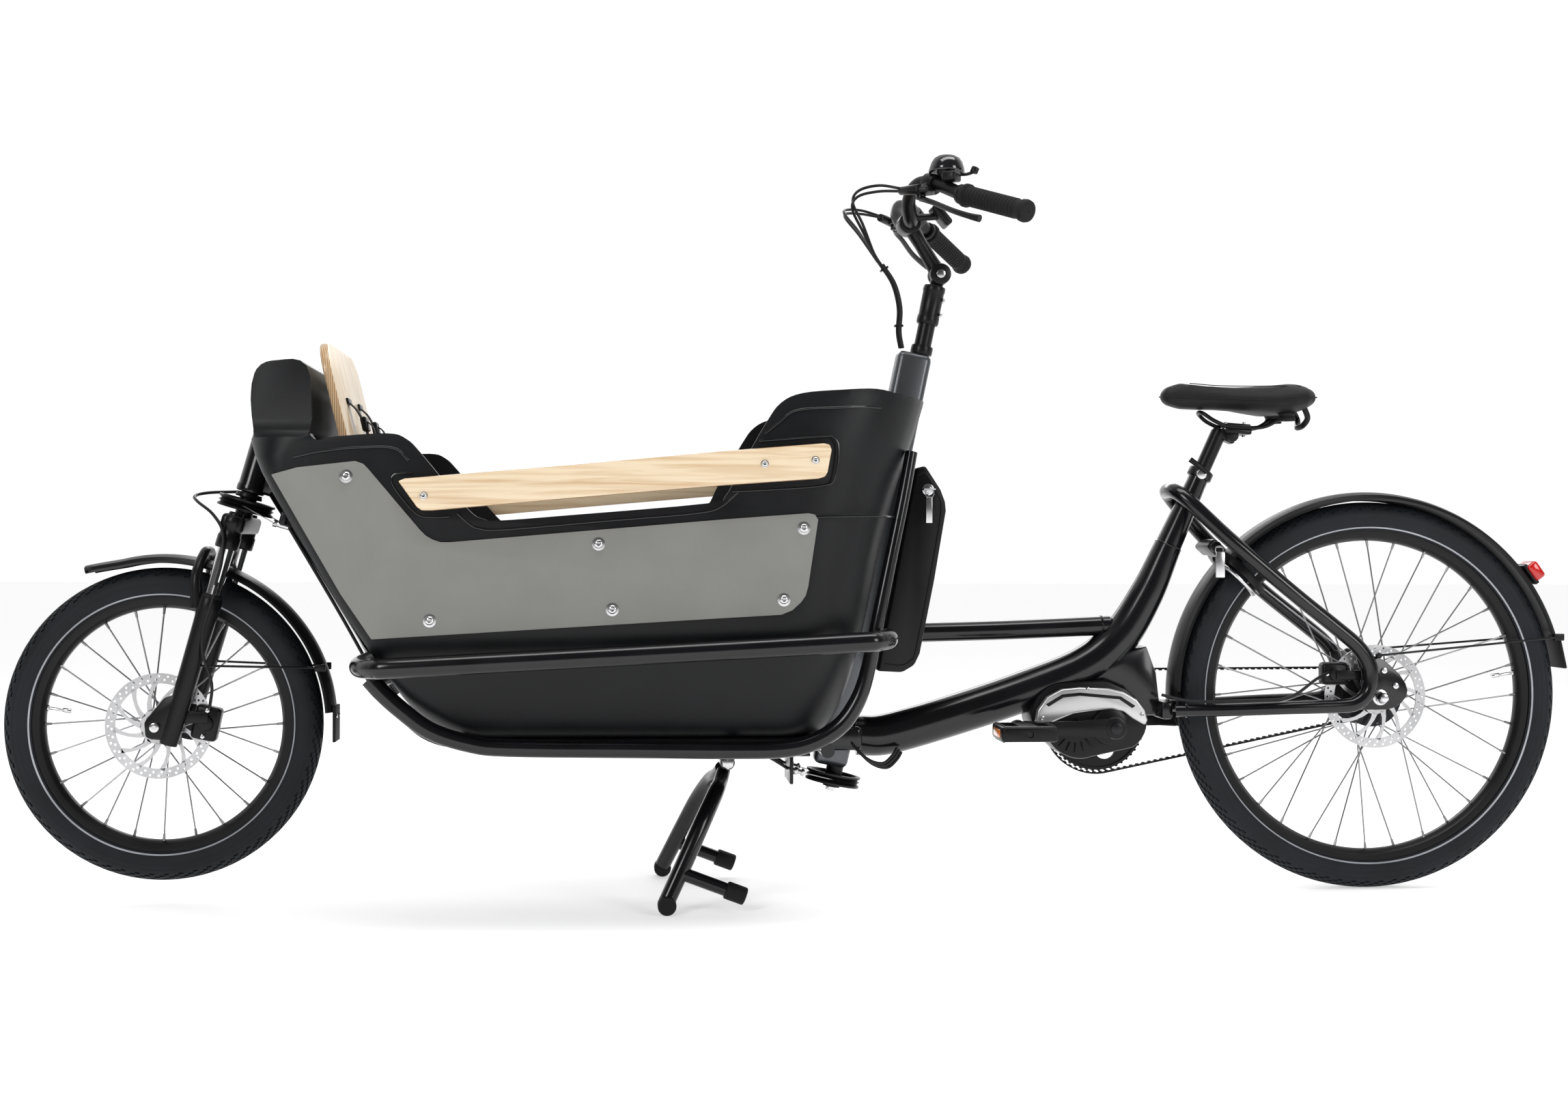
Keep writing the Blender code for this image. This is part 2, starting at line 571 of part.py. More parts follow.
def cradle():
    for word, side in SIDES:
        lower = [(-0.702, HOOP_Y, 0.3800), (-0.684, HOOP_Y, 0.360), (-0.655, HOOP_Y, 0.333),
                 (-0.610, HOOP_Y, 0.300), (-0.550, HOOP_Y, 0.280), (-0.489, HOOP_Y, 0.273),
                 (-0.300, HOOP_Y, 0.270), (-0.145, HOOP_Y, 0.268), (-0.070, HOOP_Y, 0.269),
                 (-0.023, HOOP_Y, 0.278), (0.020, HOOP_Y, 0.302), (0.046, HOOP_Y, 0.335),
                 (0.064, HOOP_Y, 0.381), (0.082, HOOP_Y, 0.468), (0.102, HOOP_Y - 0.008, 0.560),
                 (0.124, HOOP_Y - 0.020, 0.660), (0.139, HOOP_Y - 0.032, 0.735)]
        radii = [HOOP_R] * 11 + [0.0135, 0.0120, 0.0105, 0.0100, 0.0100, 0.0100]
        keep(tube(mirrored(lower, side), 1.0, per_span=1, radii=radii), "cradle_hoop_" + word, FRAME_BLACK)
        rail = [*FRONT_CORNER, (-0.30, RAIL_Y, 0.4205), *REAR_CORNER]
        keep(tube(mirrored(rail, side), RAIL_R, per_span=2), "guard_rail_" + word, FRAME_BLACK)


column()
head()
cradle()


# ---------------------------------------------------------------- fork
def fork():
    crown = block(on(FORK_POINT, FORK_UP, -0.0420), (0.0400, 0.1560, 0.0300), tilt=FORK_TILT, bevel=0.006)
    legs = []
    for side in (-1.0, 1.0):
        y = side * FORK_LEG_Y
        legs.append(rod(on(FORK_POINT, FORK_UP, -0.0850, y), on(FORK_POINT, FORK_UP, -0.0300, y), 0.0190))
        legs.append(rod(on(FORK_POINT, FORK_UP, -0.3050, y), on(FORK_POINT, FORK_UP, -0.0400, y), 0.0130))
    steerer = rod(on(FORK_POINT, FORK_UP, -0.0450), on(FORK_POINT, FORK_UP, 0.1600), SHAFT_R, sides=14)
    wheel = pulley(on(FORK_POINT, FORK_UP, -0.0100), FORK_UP)
    keep(join(crown, *legs, steerer, wheel), "fork_crown", BLACK_METAL)

    top, foot = -0.1680, -0.4150
    lower = None
    for side in (-1.0, 1.0):
        y = side * FORK_LEG_Y
        leg = join(
            rod(on(FORK_POINT, FORK_UP, foot, y), on(FORK_POINT, FORK_UP, top, y), 0.0150, 0.0185),
            plate([(FRONT_AXLE.x - 0.016, 0.272), (FRONT_AXLE.x + 0.020, 0.270),
                   (FRONT_AXLE.x + 0.042, 0.300),
                   (FRONT_AXLE.x + 0.040, 0.330), (FRONT_AXLE.x - 0.006, 0.312),
                   (FRONT_AXLE.x - 0.018, 0.296)],
                  side * (FORK_LEG_Y + 0.004), 0.0140))
        leg = cut(leg, rod(on(FORK_POINT, FORK_UP, -0.3550, y), on(FORK_POINT, FORK_UP, -0.1500, y),
                           0.0136))
        lower = leg if lower is None else join(lower, leg)
    arch = tube([on(FORK_POINT, FORK_UP, -0.1900, -FORK_LEG_Y, -0.0240),
                 on(FORK_POINT, FORK_UP, -0.1300, -0.055, -0.034),
                 on(FORK_POINT, FORK_UP, -0.1000, -0.020, -0.038),
                 on(FORK_POINT, FORK_UP, -0.1000, 0.020, -0.038),
                 on(FORK_POINT, FORK_UP, -0.1300, 0.055, -0.034),
                 on(FORK_POINT, FORK_UP, -0.1900, FORK_LEG_Y, -0.0240)],
                0.0090, per_span=2)
    axle = rod(FRONT_AXLE + Vector((0.0, -0.0775, 0.0)), FRONT_AXLE + Vector((0.0, 0.0775, 0.0)), 0.0060)
    body = caliper(Vector((-0.9900, ROTOR_Y, 0.2950)), (0.0420, 0.0300, 0.0560), FRONT_AXLE, 0.0870)
    mount = block((-1.0100, -FORK_LEG_Y + 0.004, 0.3050), (0.0500, 0.0120, 0.0200))
    keep(join(lower, arch, axle, mount, body), "fork_lowers", BLACK_METAL)


fork()


# ---------------------------------------------------------------- mudguards and rear light
def mudguards():
    for name, axle, reach, first, last, steps, at in (
            ("front_fender", FRONT_AXLE, 0.2800, 116.0, 4.0, 18, 0.0),
            ("rear_fender", REAR_AXLE, 0.3500, 181.0, 16.0, 26, 12.5)):
        angle = math.radians(at)
        middle = axle + Vector((math.cos(angle), 0.0, math.sin(angle))) * (reach - 0.002)
        flap = block(middle, (0.0050, 0.0560, 0.0600), tilt=-angle, bevel=0.0012)
        keep(join(fender(axle, reach, 0.0320, first, last, steps), flap), name, BLACK_PLASTIC)
    angle = math.radians(36.0)
    middle = REAR_AXLE + Vector((math.cos(angle), 0.0, math.sin(angle))) * 0.3640
    keep(block(middle, (0.0240, 0.0500, 0.0340), tilt=-angle, bevel=0.005), "rear_light", RED, smooth=False)


mudguards()


# ---------------------------------------------------------------- tub
# Each level: height, front wall, rear wall, half width, front corner radius, rear corner radius.
TUB_LEVELS = (
    (0.2845, -0.5600, -0.0200, 0.2300, 0.060, 0.060),
    (0.2950, -0.5950, 0.0050, 0.2450, 0.060, 0.070),
    (0.3300, -0.6400, 0.0300, 0.2640, 0.050, 0.090),
    (0.3850, -0.6750, 0.0480, 0.2980, 0.035, 0.110),
    (0.4400, -0.7070, 0.0620, 0.3280, 0.025, 0.130),
    (0.5000, -0.7450, 0.0760, 0.3340, 0.025, 0.140),
    (0.6000, -0.8030, 0.0980, 0.3350, 0.025, 0.150),
    (0.6950, -0.8580, 0.1250, 0.3350, 0.035, 0.160),
    (0.7600, -0.8850, 0.1500, 0.3320, 0.090, 0.170),
    (0.8350, -0.8900, 0.1720, 0.3200, 0.110, 0.170),
    (0.9000, -0.8700, 0.1720, 0.3000, 0.110, 0.170),
)
BENCH_HINGE = Vector((-0.6570, 0.0, 0.4700))
HUMP_INNER_X = -0.8120       # the nose above the rim is solid in front of this
CORNER_STEPS = 3


def tub_ring(level, inward, height):
    """One horizontal outline of the tub, moved inwards by a wall."""
    _, front, rear, half, front_r, rear_r = level
    front += inward
    rear -= inward
    half -= inward
    points = []
    for cx, cy, radius, start in ((rear, half, rear_r, 0.0), (front, half, front_r, 90.0),
                                  (front, -half, front_r, 180.0), (rear, -half, rear_r, 270.0)):
        radius = max(radius - inward, 0.02)
        mx = cx - radius if start in (0.0, 270.0) else cx + radius
        my = cy - radius if cy > 0 else cy + radius
        for i in range(CORNER_STEPS + 1):
            angle = math.radians(start + 90.0 * i / CORNER_STEPS)
            points.append((mx + radius * math.cos(angle), my + radius * math.sin(angle), height))
    return points


def lofted(rings):
    """A closed body through rings of the same number of points."""
    shape = bmesh.new()
    rows = [[shape.verts.new(p) for p in ring] for ring in rings]
    count = len(rows[0])
    for low, high in zip(rows, rows[1:]):
        for i in range(count):
            k = (i + 1) % count
            shape.faces.new((low[i], low[k], high[k], high[i]))
    shape.faces.new(rows[0][::-1])
    shape.faces.new(rows[-1])
    return from_bmesh(shape)


def rim_profile():
    """The side view of everything above the tub's rim, front to rear."""
    return [(-1.00, 0.700), (-0.905, 0.740), (-0.899, 0.800), (-0.882, 0.858), (-0.850, 0.872),
            (-0.806, 0.864),
            (-0.790, 0.780), (-0.776, 0.7440), (-0.743, 0.7480), (-0.668, 0.7530), (-0.640, 0.7450),
            (-0.615, 0.720), (-0.550, 0.642), (-0.525, 0.6250), (-0.499, 0.6230), (-0.400, 0.631),
            (-0.190, 0.6500), (-0.160, 0.662), (-0.140, 0.700), (-0.098, 0.774), (-0.075, 0.805),
            (-0.042, 0.8200), (0.020, 0.8260), (0.075, 0.8290), (0.122, 0.8220), (0.200, 0.8150),
            (0.30, 0.8150),
            (0.30, 1.10), (-1.00, 1.10)]


def tub():
    outer = lofted([tub_ring(level, 0.0, level[0]) for level in TUB_LEVELS])
    inner_levels = []
    for level in TUB_LEVELS:
        height, front, rear, half, front_r, rear_r = level
        spine = COLUMN_POINT.x + (height - COLUMN_POINT.z) * math.tan(COLUMN_TILT) + COLUMN_OFFSET - 0.0440
        front = HUMP_INNER_X if height > 0.74 else front + 0.004
        inner_levels.append((height, front, min(rear, spine + TUB_WALL), half, front_r, rear_r))
    rings = [tub_ring(level, TUB_WALL, level[0] + (0.012 if i == 0 else 0.0))
             for i, level in enumerate(inner_levels) if i != 1]
    rings.append([(x, y, 1.0) for x, y, z in rings[-1]])
    made = cut(outer, lofted(rings), plate(rim_profile(), 0.0, 1.0))
    spine = block(on(COLUMN_POINT, COLUMN_UP, -0.30, across=COLUMN_OFFSET + 0.040), (0.1400, 0.0500, 1.0),
                  tilt=COLUMN_TILT)
    nose = block(on(FORK_POINT, FORK_UP, 0.10, across=-0.0360), (0.1200, 0.0500, 0.36), tilt=FORK_TILT)
    shoulders = [block((-0.8800, side * 0.3150, 0.8490), (0.2300, 0.2000, 0.2040)) for side in (-1.0, 1.0)]
    made = cut(made, spine, nose, *shoulders)
    reach = TUB_HALF_WIDTH - 0.5 * TUB_WALL
    bars = [rod((x, -reach, z), (x, reach, z), 0.0090)
            for x, z in ((BENCH_HINGE.x - 0.0020, BENCH_HINGE.z), (-0.4800, BENCH_HINGE.z - 0.0170))]
    keep(join(made, *bars), "tub", TUB_BLACK)


tub()


# ---------------------------------------------------------------- tub fittings
PANEL_Y = TUB_HALF_WIDTH + GAP + 0.0015
BOARD_TILT = math.radians(-13.4)
BOARD_POINT = Vector((-0.7545, 0.0, 0.7565))
BOARD_UP = up(BOARD_TILT)


def tub_fittings():
    panel = [(-0.838, 0.690), (-0.800, 0.701), (-0.715, 0.711), (-0.696, 0.700), (-0.619, 0.609),
             (-0.600, 0.594), (-0.574, 0.590), (-0.163, 0.626), (-0.034, 0.636), (-0.019, 0.626),
             (-0.034, 0.524), (-0.045, 0.500), (-0.075, 0.481), (-0.162, 0.476), (-0.690, 0.4440),
             (-0.736, 0.512), (-0.790, 0.606)]
    rail = [(-0.650, 0.681), (-0.615, 0.635), (-0.399, 0.656), (-0.164, 0.677), (-0.014, 0.689),
            (-0.006, 0.696), (0.000, 0.732), (-0.008, 0.742), (-0.164, 0.729), (-0.400, 0.706),
            (-0.646, 0.684)]
    for word, side in SIDES:
        keep(plate(panel, side * PANEL_Y, 0.0030), "side_panel_" + word, PANEL_GREY, smooth=False)
        keep(plate(rail, side * (TUB_HALF_WIDTH + 0.0005 + 0.0080), 0.0160), "wood_rail_" + word, BIRCH,
             smooth=False)
    half, low, high, corner = 0.180, -0.2900, 0.1550, 0.055
    outline = [(-half, low), (half, low),
               *round_outline(half - corner, high - corner, corner, 0.0, 90.0, 4),
               *round_outline(-half + corner, high - corner, corner, 90.0, 180.0, 4)]
    across = Vector((0.0, 1.0, 0.0))
    normal = across.cross(BOARD_UP)
    place = Matrix((across, BOARD_UP, normal)).transposed().to_4x4()
    place.translation = BOARD_POINT
    keep(slab(outline, 0.0140, place), "backrest", BIRCH, smooth=False)
    seat = block(BENCH_HINGE + Vector((0.1225, 0.0, 0.0)), (0.2250, 0.5000, 0.0140), bevel=0.002)
    keep(seat, "bench_seat", BIRCH, smooth=False)


tub_fittings()


def battery():
    case = [(0.1665, 0.7150), (0.182, 0.720), (0.208, 0.680), (0.2155, 0.660), (0.217, 0.645),
            (0.198, 0.531),
            (0.174, 0.409), (0.165, 0.390), (0.145, 0.378), (0.1030, 0.3800)]
    made = plate(case, 0.0, 0.1900)
    slot = block((0.1650, 0.0, 0.4000), (0.2000, 0.0370, 0.1210))
    keep(cut(made, slot), "battery", BLACK_PLASTIC, smooth=False)
    key = join(rod((0.1860, -0.0953, 0.680), (0.1860, -0.1010, 0.680), 0.0075),
               block((0.1860, -0.1100, 0.680), (0.0220, 0.0200, 0.0030)))
    keep(key, "battery_key", STEEL, smooth=False)


battery()

# ---------------------------------------------------------------- stand
PEG_Y = 0.172


def stand():
    ears = [(-0.1600, 0.2570), (-0.1220, 0.2570), (-0.1306, 0.2275), (-0.1310, 0.2220),
            (-0.1350, 0.2165), (-0.1470, 0.2165), (-0.1520, 0.2220), (-0.1530, 0.2275)]
    bridge = block((STAND_PIVOT.x, 0.0, 0.2520), (0.0360, 0.1060, 0.0100))
    half = HOOP_Y - HOOP_R - 0.0010
    bar = rod((STAND_PIVOT.x, -half, 0.2670), (STAND_PIVOT.x, half, 0.2670), 0.0110)
    pin = rod(STAND_PIVOT + Vector((0.0, -0.058, 0.0)), STAND_PIVOT + Vector((0.0, 0.058, 0.0)), 0.0062)
    keep(join(bridge, plate(ears, -0.0480, 0.0080), plate(ears, 0.0480, 0.0080), bar, pin), "stand_bracket",
         FRAME_BLACK,
         smooth=False)
    for word, side in SIDES:
        barrel = rod((STAND_PIVOT.x, side * 0.0005, STAND_PIVOT.z),
                     (STAND_PIVOT.x, side * 0.0430, STAND_PIVOT.z), 0.0125)
        leg = tube(mirrored([(-0.1470, 0.0300, 0.2090), (-0.1540, 0.0600, 0.1940),
                             (-0.1640, 0.1000, 0.1800),
                             (-0.1850, 0.1400, 0.1420), (-0.2150, 0.1650, 0.0800),
                             (-0.2440, 0.1830, 0.0200)], side),
                   0.0120, per_span=2)
        peg = rod((-0.2240, side * PEG_Y, 0.0640), (-0.1465, side * PEG_Y, 0.0347), 0.0095)
        cap = rod((-0.1500, side * PEG_Y, 0.0360), (-0.1180, side * PEG_Y, 0.0240), 0.0135)
        foot = rod((-0.2440, side * 0.1750, 0.0140), (-0.2440, side * 0.2050, 0.0140), 0.0140, sides=16)
        made = cut(join(barrel, leg, peg, cap, foot),
                   rod(STAND_PIVOT + Vector((0.0, -0.06, 0.0)), STAND_PIVOT + Vector((0.0, 0.06, 0.0)),
                       0.0066))
        keep(made, "stand_leg_" + word, FRAME_BLACK)


stand()

# ---------------------------------------------------------------- steering cables
PULLEY_WIRE_Y = 0.0440


def steering_cables():
    """Both cable housings, with the plate and the adjusters that hold them behind the tub."""
    made = join(block((-0.0350, 0.0, 0.2150), (0.0060, 0.1160, 0.0500)),
                block((-0.0200, 0.0, 0.2370), (0.0360, 0.0800, 0.0050)))
    for side in (-1.0, 1.0):
        route = [(-0.8595, PULLEY_WIRE_Y, 0.6130), (-0.8380, 0.0380, 0.5750), (-0.7750, 0.0300, 0.4650),
                 (-0.7120, 0.0300, 0.3520), (-0.6700, 0.0300, 0.2900), (-0.6100, 0.0320, 0.2560),
                 (-0.5000, 0.0400, 0.2500), (-0.3000, 0.0620, 0.2480), (-0.1600, 0.0760, 0.2480),
                 (-0.0900, 0.0680, 0.2430), (-0.0350, PULLEY_WIRE_Y, 0.2140)]
        barrel = rod((-0.0350, side * PULLEY_WIRE_Y, 0.2125), (-0.0120, side * PULLEY_WIRE_Y, 0.2075),
                     0.0045, sides=8)
        made = join(made, tube(mirrored(route, side), 0.0028, resolution=1, per_span=1), barrel)
    keep(made, "steering_cables", RUBBER, smooth=False)


steering_cables()

# ---------------------------------------------------------------- handlebar
BAR_CLAMP = Vector((0.166, 0.0, 1.133))
BAR_R = 0.0111
GRIP_START = Vector((0.2300, 0.1930, 1.1500))
GRIP_END = Vector((0.3110, 0.3000, 1.1070))
LEVER_PIVOT = Vector((0.1640, 0.1560, 1.1560))


def flip(point, side):
    return Vector((point.x, side * point.y, point.z))


def handlebar():
    lower = join(rod(on(COLUMN_POINT, COLUMN_UP, 0.0350), on(COLUMN_POINT, COLUMN_UP, 0.0950), 0.0185,
                     sides=14),
                 rod(STEM_PIVOT + Vector((0.0, -0.0060, 0.0)), STEM_PIVOT + Vector((0.0, 0.0060, 0.0)),
                     0.0170, sides=14),
                 block((0.2145, 0.0, 1.0340), (0.0220, 0.0120, 0.0360), tilt=COLUMN_TILT))
    lower = cut(lower, rod(on(COLUMN_POINT, COLUMN_UP, 0.0), on(COLUMN_POINT, COLUMN_UP, 0.0860),
                           SHAFT_R + GAP, sides=14))
    keep(lower, "stem_lower", BLACK_METAL)
    cheeks = [rod(STEM_PIVOT + Vector((0.0, side * 0.0066, 0.0)),
                  STEM_PIVOT + Vector((0.0, side * 0.0180, 0.0)),
                  0.0170, sides=14) for side in (-1.0, 1.0)]
    arms = [rod(STEM_PIVOT + Vector((-0.004, side * 0.0125, 0.006)),
                BAR_CLAMP + Vector((0.0, side * 0.0125, 0.0)),
                0.0058, sides=8) for side in (-1.0, 1.0)]
    clamp = rod(BAR_CLAMP + Vector((0.0, -0.0220, 0.0)), BAR_CLAMP + Vector((0.0, 0.0220, 0.0)), 0.0190,
                sides=14)
    stem = join(clamp, arms[0], arms[1], cheeks[0], cheeks[1])
    half = [(0.1660, 0.0, 1.1330), (0.1660, 0.0240, 1.1330), (0.1620, 0.0480, 1.1400),
            (0.1560, 0.0760, 1.1630),
            (0.1660, 0.1050, 1.1820), (0.1900, 0.1380, 1.1780), GRIP_START, (GRIP_START + GRIP_END) / 2.0,
            GRIP_END - (GRIP_END - GRIP_START).normalized() * 0.0060]
    bar = [flip(Vector(p), -1.0) for p in reversed(half)] + half[1:]
    radii = [BAR_R] * 6 + [0.0125] * 5 + [BAR_R] * 6
    made = join(tube(bar, 1.0, per_span=2, radii=radii), stem)
    for word, side in SIDES:
        pivot = flip(LEVER_PIVOT, side)
        bar_here = flip(Vector((0.1850, 0.1310, 1.1785)), side)
        made = join(made, block(pivot + Vector((0.0, 0.0, 0.0060)), (0.0240, 0.0300, 0.0100)),
                    rod(pivot + Vector((0.002, -side * 0.006, 0.006)), bar_here, 0.0080, sides=8))
    unit = block((0.2130, -0.0480, 1.1400), (0.0130, 0.0500, 0.0420), tilt=math.radians(-40.0), bevel=0.003)
    arm = rod((0.1620, -0.0400, 1.1370), (0.2130, -0.0450, 1.1400), 0.0060, sides=8)
    keep(join(made, arm, unit), "handlebar", BLACK_METAL)
    for word, side in SIDES:
        start, end = flip(GRIP_START, side), flip(GRIP_END, side)
        along = (end - start).normalized()
        grip = cut(rod(start, end, 0.0160, sides=14),
                   rod(start - along * 0.02, end - along * 0.0050, 0.0121, sides=12))
        keep(grip, "grip_" + word, RUBBER)
        pivot = flip(LEVER_PIVOT, side)
        blade = tube([pivot + Vector((0.0, 0.0, -0.0060)), flip(Vector((0.1800, 0.1900, 1.1380)), side),
                      flip(Vector((0.2050, 0.2300, 1.1180)), side),
                      flip(Vector((0.2400, 0.2700, 1.1000)), side)],
                     0.0050, per_span=2)
        keep(blade, "brake_lever_" + word, BLACK_METAL)


handlebar()


def controls():
    centre = Vector((0.2080, -0.1420, 1.1965))
    dome = [(0.0004, 0.0), (0.0290, 0.0), (0.0290, 0.006), (0.0255, 0.0170), (0.0170, 0.0250),
            (0.0080, 0.0280), (0.0004, 0.0285)]
    shape = turned(dome, centre, (0.0, 0.0, 1.0), 18)
    plug = rod(centre, centre + Vector((0.0, 0.0, 0.0285)), 0.0040, sides=8)
    keep(join(shape, plug), "bell", BLACK_PLASTIC)
    lever = tube([centre + Vector((0.0150, -0.0100, -0.0050)), centre + Vector((0.0300, -0.0200, -0.0060)),
                  centre + Vector((0.0440, -0.0240, -0.0020))], 0.0032, per_span=2)
    keep(lever, "bell_lever", BLACK_PLASTIC)
    lower = [(0.1540, 0.0, 0.9225), (0.1490, -0.004, 0.950), (0.1500, -0.006, 0.990),
             (0.1400, -0.006, 1.030),
             (0.1190, -0.006, 1.0630)]
    made = tube(lower, 0.0058, per_span=2)
    for side in (-1.0, 1.0):
        route = [(0.1280, side * 0.002, 1.0520), (0.1175, side * 0.004, 1.0660),
                 (0.0980, side * 0.020, 1.0950), (0.0700, side * 0.055, 1.1400),
                 (0.0720, side * 0.100, 1.1640), (0.1060, side * 0.135, 1.1650),
                 (0.1480, side * 0.1520, 1.1640)]
        made = join(made, tube(route, 0.0026, resolution=1, per_span=2))
    keep(made, "control_cables", RUBBER)


controls()

# ---------------------------------------------------------------- saddle and seat post
def saddle():
    lever = tube([(0.6750, -0.0270, 0.7150), (0.6620, -0.0320, 0.7240), (0.6460, -0.0300, 0.7360)], 0.0040,
                 per_span=2)
    keep(lever, "seat_clamp_lever", BLACK_METAL)
    half = [(0.8050, 0.0300, 0.8060), (0.7800, 0.0240, 0.7940), (0.7500, 0.0220, 0.7905),
            (0.7150, 0.0220, 0.7930),
            (0.6900, 0.0210, 0.8030), (0.6740, 0.0140, 0.8130)]
    path = mirrored(half, -1.0) + [(0.6700, 0.0, 0.8150)] + mirrored(half, 1.0)[::-1]
    post = join(rod(on(SEAT_POINT, SEAT_UP, -0.1250), on(SEAT_POINT, SEAT_UP, 0.0760), POST_R, sides=14),
                block((0.7320, 0.0, 0.7880), (0.0480, 0.0540, 0.0180), tilt=math.radians(4.0), bevel=0.003),
                tube(path, 0.0034, per_span=1))
    keep(post, "seat_post", BLACK_METAL)
    rings = []
    for x, width, low, high in ((0.6010, 0.006, 0.842, 0.850), (0.6080, 0.017, 0.832, 0.860),
                                (0.6350, 0.022, 0.8225, 0.868),
                                (0.6900, 0.030, 0.8220, 0.864), (0.7350, 0.052, 0.8180, 0.861),
                                (0.7800, 0.074, 0.8130, 0.864),
                                (0.8200, 0.084, 0.8160, 0.867), (0.8500, 0.072, 0.8240, 0.862),
                                (0.8620, 0.045, 0.834, 0.852)):
        middle = (low + high) / 2.0
        rings.append([(x, width * math.cos(a), middle + (high - low) / 2.0 * math.sin(a))
                      for a in [math.tau * i / 14 for i in range(14)]])
    keep(lofted(rings), "saddle", LEATHER)


saddle()

# ---------------------------------------------------------------- wheel lock
LOCK_ANGLE = math.radians(137.4)
LOCK_REACH = 0.3120
LOCK_OUT = Vector((math.cos(LOCK_ANGLE), 0.0, math.sin(LOCK_ANGLE)))
LOCK_AXIS = Vector((-LOCK_OUT.z, 0.0, LOCK_OUT.x))
LOCK_CENTRE = REAR_AXLE + LOCK_OUT * LOCK_REACH
SHACKLE_OFFSET = 0.0140


def wheel_lock():
    ring = turned([(0.0460, -0.0070), (0.0580, -0.0070), (0.0580, 0.0070), (0.0460, 0.0070)], LOCK_CENTRE,
                  LOCK_AXIS, 24)
    mouth = block(LOCK_CENTRE - LOCK_OUT * 0.0500, (0.0600, 0.0600, 0.0400), tilt=-LOCK_ANGLE)
    house = block(LOCK_CENTRE + LOCK_OUT * 0.0630, (0.0260, 0.0840, 0.0210), tilt=-LOCK_ANGLE, bevel=0.002)
    side = LOCK_CENTRE + LOCK_OUT * 0.0640 + Vector((0.0, -0.0400, 0.0))
    key = block(side + Vector((0.0, -0.0090, 0.0)), (0.0100, 0.0260, 0.0120))
    keep(join(cut(ring, mouth), house, key), "frame_lock", BLACK_PLASTIC)
    arc = []
    for i in range(9):
        angle = math.radians(40.0 + 100.0 * i / 8)
        out = -LOCK_OUT * math.cos(angle) + Vector((0.0, -1.0, 0.0)) * math.sin(angle)
        arc.append(LOCK_CENTRE + LOCK_AXIS * SHACKLE_OFFSET + out * 0.0520)
    keep(tube(arc, 0.0042, per_span=1), "lock_shackle", STEEL)


wheel_lock()
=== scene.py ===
# %% [markdown]
# # A front-loading cargo bicycle
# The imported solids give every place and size. This lesson dresses them: each solid is replaced by finer
# pieces that stand in the same space and move with the same body.

# %% Load the frame
import math

import bmesh
import bpy
from mathutils import Matrix, Vector


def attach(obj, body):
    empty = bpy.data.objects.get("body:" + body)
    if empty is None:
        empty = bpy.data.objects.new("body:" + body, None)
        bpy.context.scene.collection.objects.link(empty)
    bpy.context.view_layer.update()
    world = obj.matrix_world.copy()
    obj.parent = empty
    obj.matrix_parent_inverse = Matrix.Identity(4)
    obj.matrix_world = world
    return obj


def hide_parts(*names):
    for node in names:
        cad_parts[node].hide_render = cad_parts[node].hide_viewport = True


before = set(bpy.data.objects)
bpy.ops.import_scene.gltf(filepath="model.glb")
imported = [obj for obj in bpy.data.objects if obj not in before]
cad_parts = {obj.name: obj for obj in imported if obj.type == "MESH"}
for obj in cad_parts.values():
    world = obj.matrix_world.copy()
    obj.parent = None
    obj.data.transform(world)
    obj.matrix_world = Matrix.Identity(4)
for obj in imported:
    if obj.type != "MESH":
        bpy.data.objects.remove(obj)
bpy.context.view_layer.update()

# %% [markdown]
# Places are written as on the maker's drawing, whose X starts 5.5 mm behind the frame's. One vector
# carries every point across, so a number here can be read against the drawing. The tilts are those of
# the fork, the steering column and the seat tube.

# %% Drawing points
def spot(x, y, z):
    return Vector((x, y, z))


SHIFT = spot(0.0055, 0, 0)
REAR_AXLE = spot(0.965, 0, 0.3325)
FRONT_AXLE = spot(-1.067, 0, 0.29)
BRACKET = spot(0.503, 0, 0.284)
FORK_POINT = spot(-0.934, 0, 0.66)
COLUMN_POINT = spot(0.192, 0, 0.934)
SEAT_POINT = spot(0.676, 0, 0.72)
SIDES = (-1, 1)
STAND_PIVOT = spot(-0.141, 0, 0.225)


def leaning(degrees):
    """Unit vector that leans to the rear by this angle."""
    return spot(math.sin(math.radians(degrees)), 0, math.cos(math.radians(degrees)))


FORK_TILT, COLUMN_TILT, SEAT_TILT, BOARD_TILT = 16, 11.65, 24.3, -13.4
FORK_UP, COLUMN_UP, SEAT_UP = leaning(FORK_TILT), leaning(COLUMN_TILT), leaning(SEAT_TILT)


def on(point, direction, along, y=0, across=0):
    """A point along a tilted axis; across is square to it, towards the rear."""
    square = spot(direction.z, 0, -direction.x)
    return point + direction * along + square * across + spot(0, y, 0)


def on_column(along, y=0, across=0):
    return on(COLUMN_POINT, COLUMN_UP, along, y, across)


def on_fork(along, y=0, across=0):
    return on(FORK_POINT, FORK_UP, along, y, across)


def both(points, side):
    """The points on one side of the bicycle: -1 for the left and 1 for the right."""
    return [spot(p[0], side * p[1], p[2]) for p in points]


print("steering column leans", round(math.degrees(math.atan2(COLUMN_UP.x, COLUMN_UP.z)), 2), "degrees")

# %% [markdown]
# ## Helpers for shaping
# Every tool of Blender acts on what is selected, so each helper starts from an empty selection. A
# finished piece has its origin at the world's, because patterns and the export count on that.

# %% Finish a piece
def clear_selection():
    if bpy.context.object and bpy.context.object.mode != "OBJECT":
        bpy.ops.object.mode_set(mode="OBJECT")
    bpy.ops.object.select_all(action="DESELECT")


def choose(obj):
    clear_selection()
    obj.select_set(True)
    bpy.context.view_layer.objects.active = obj
    return obj


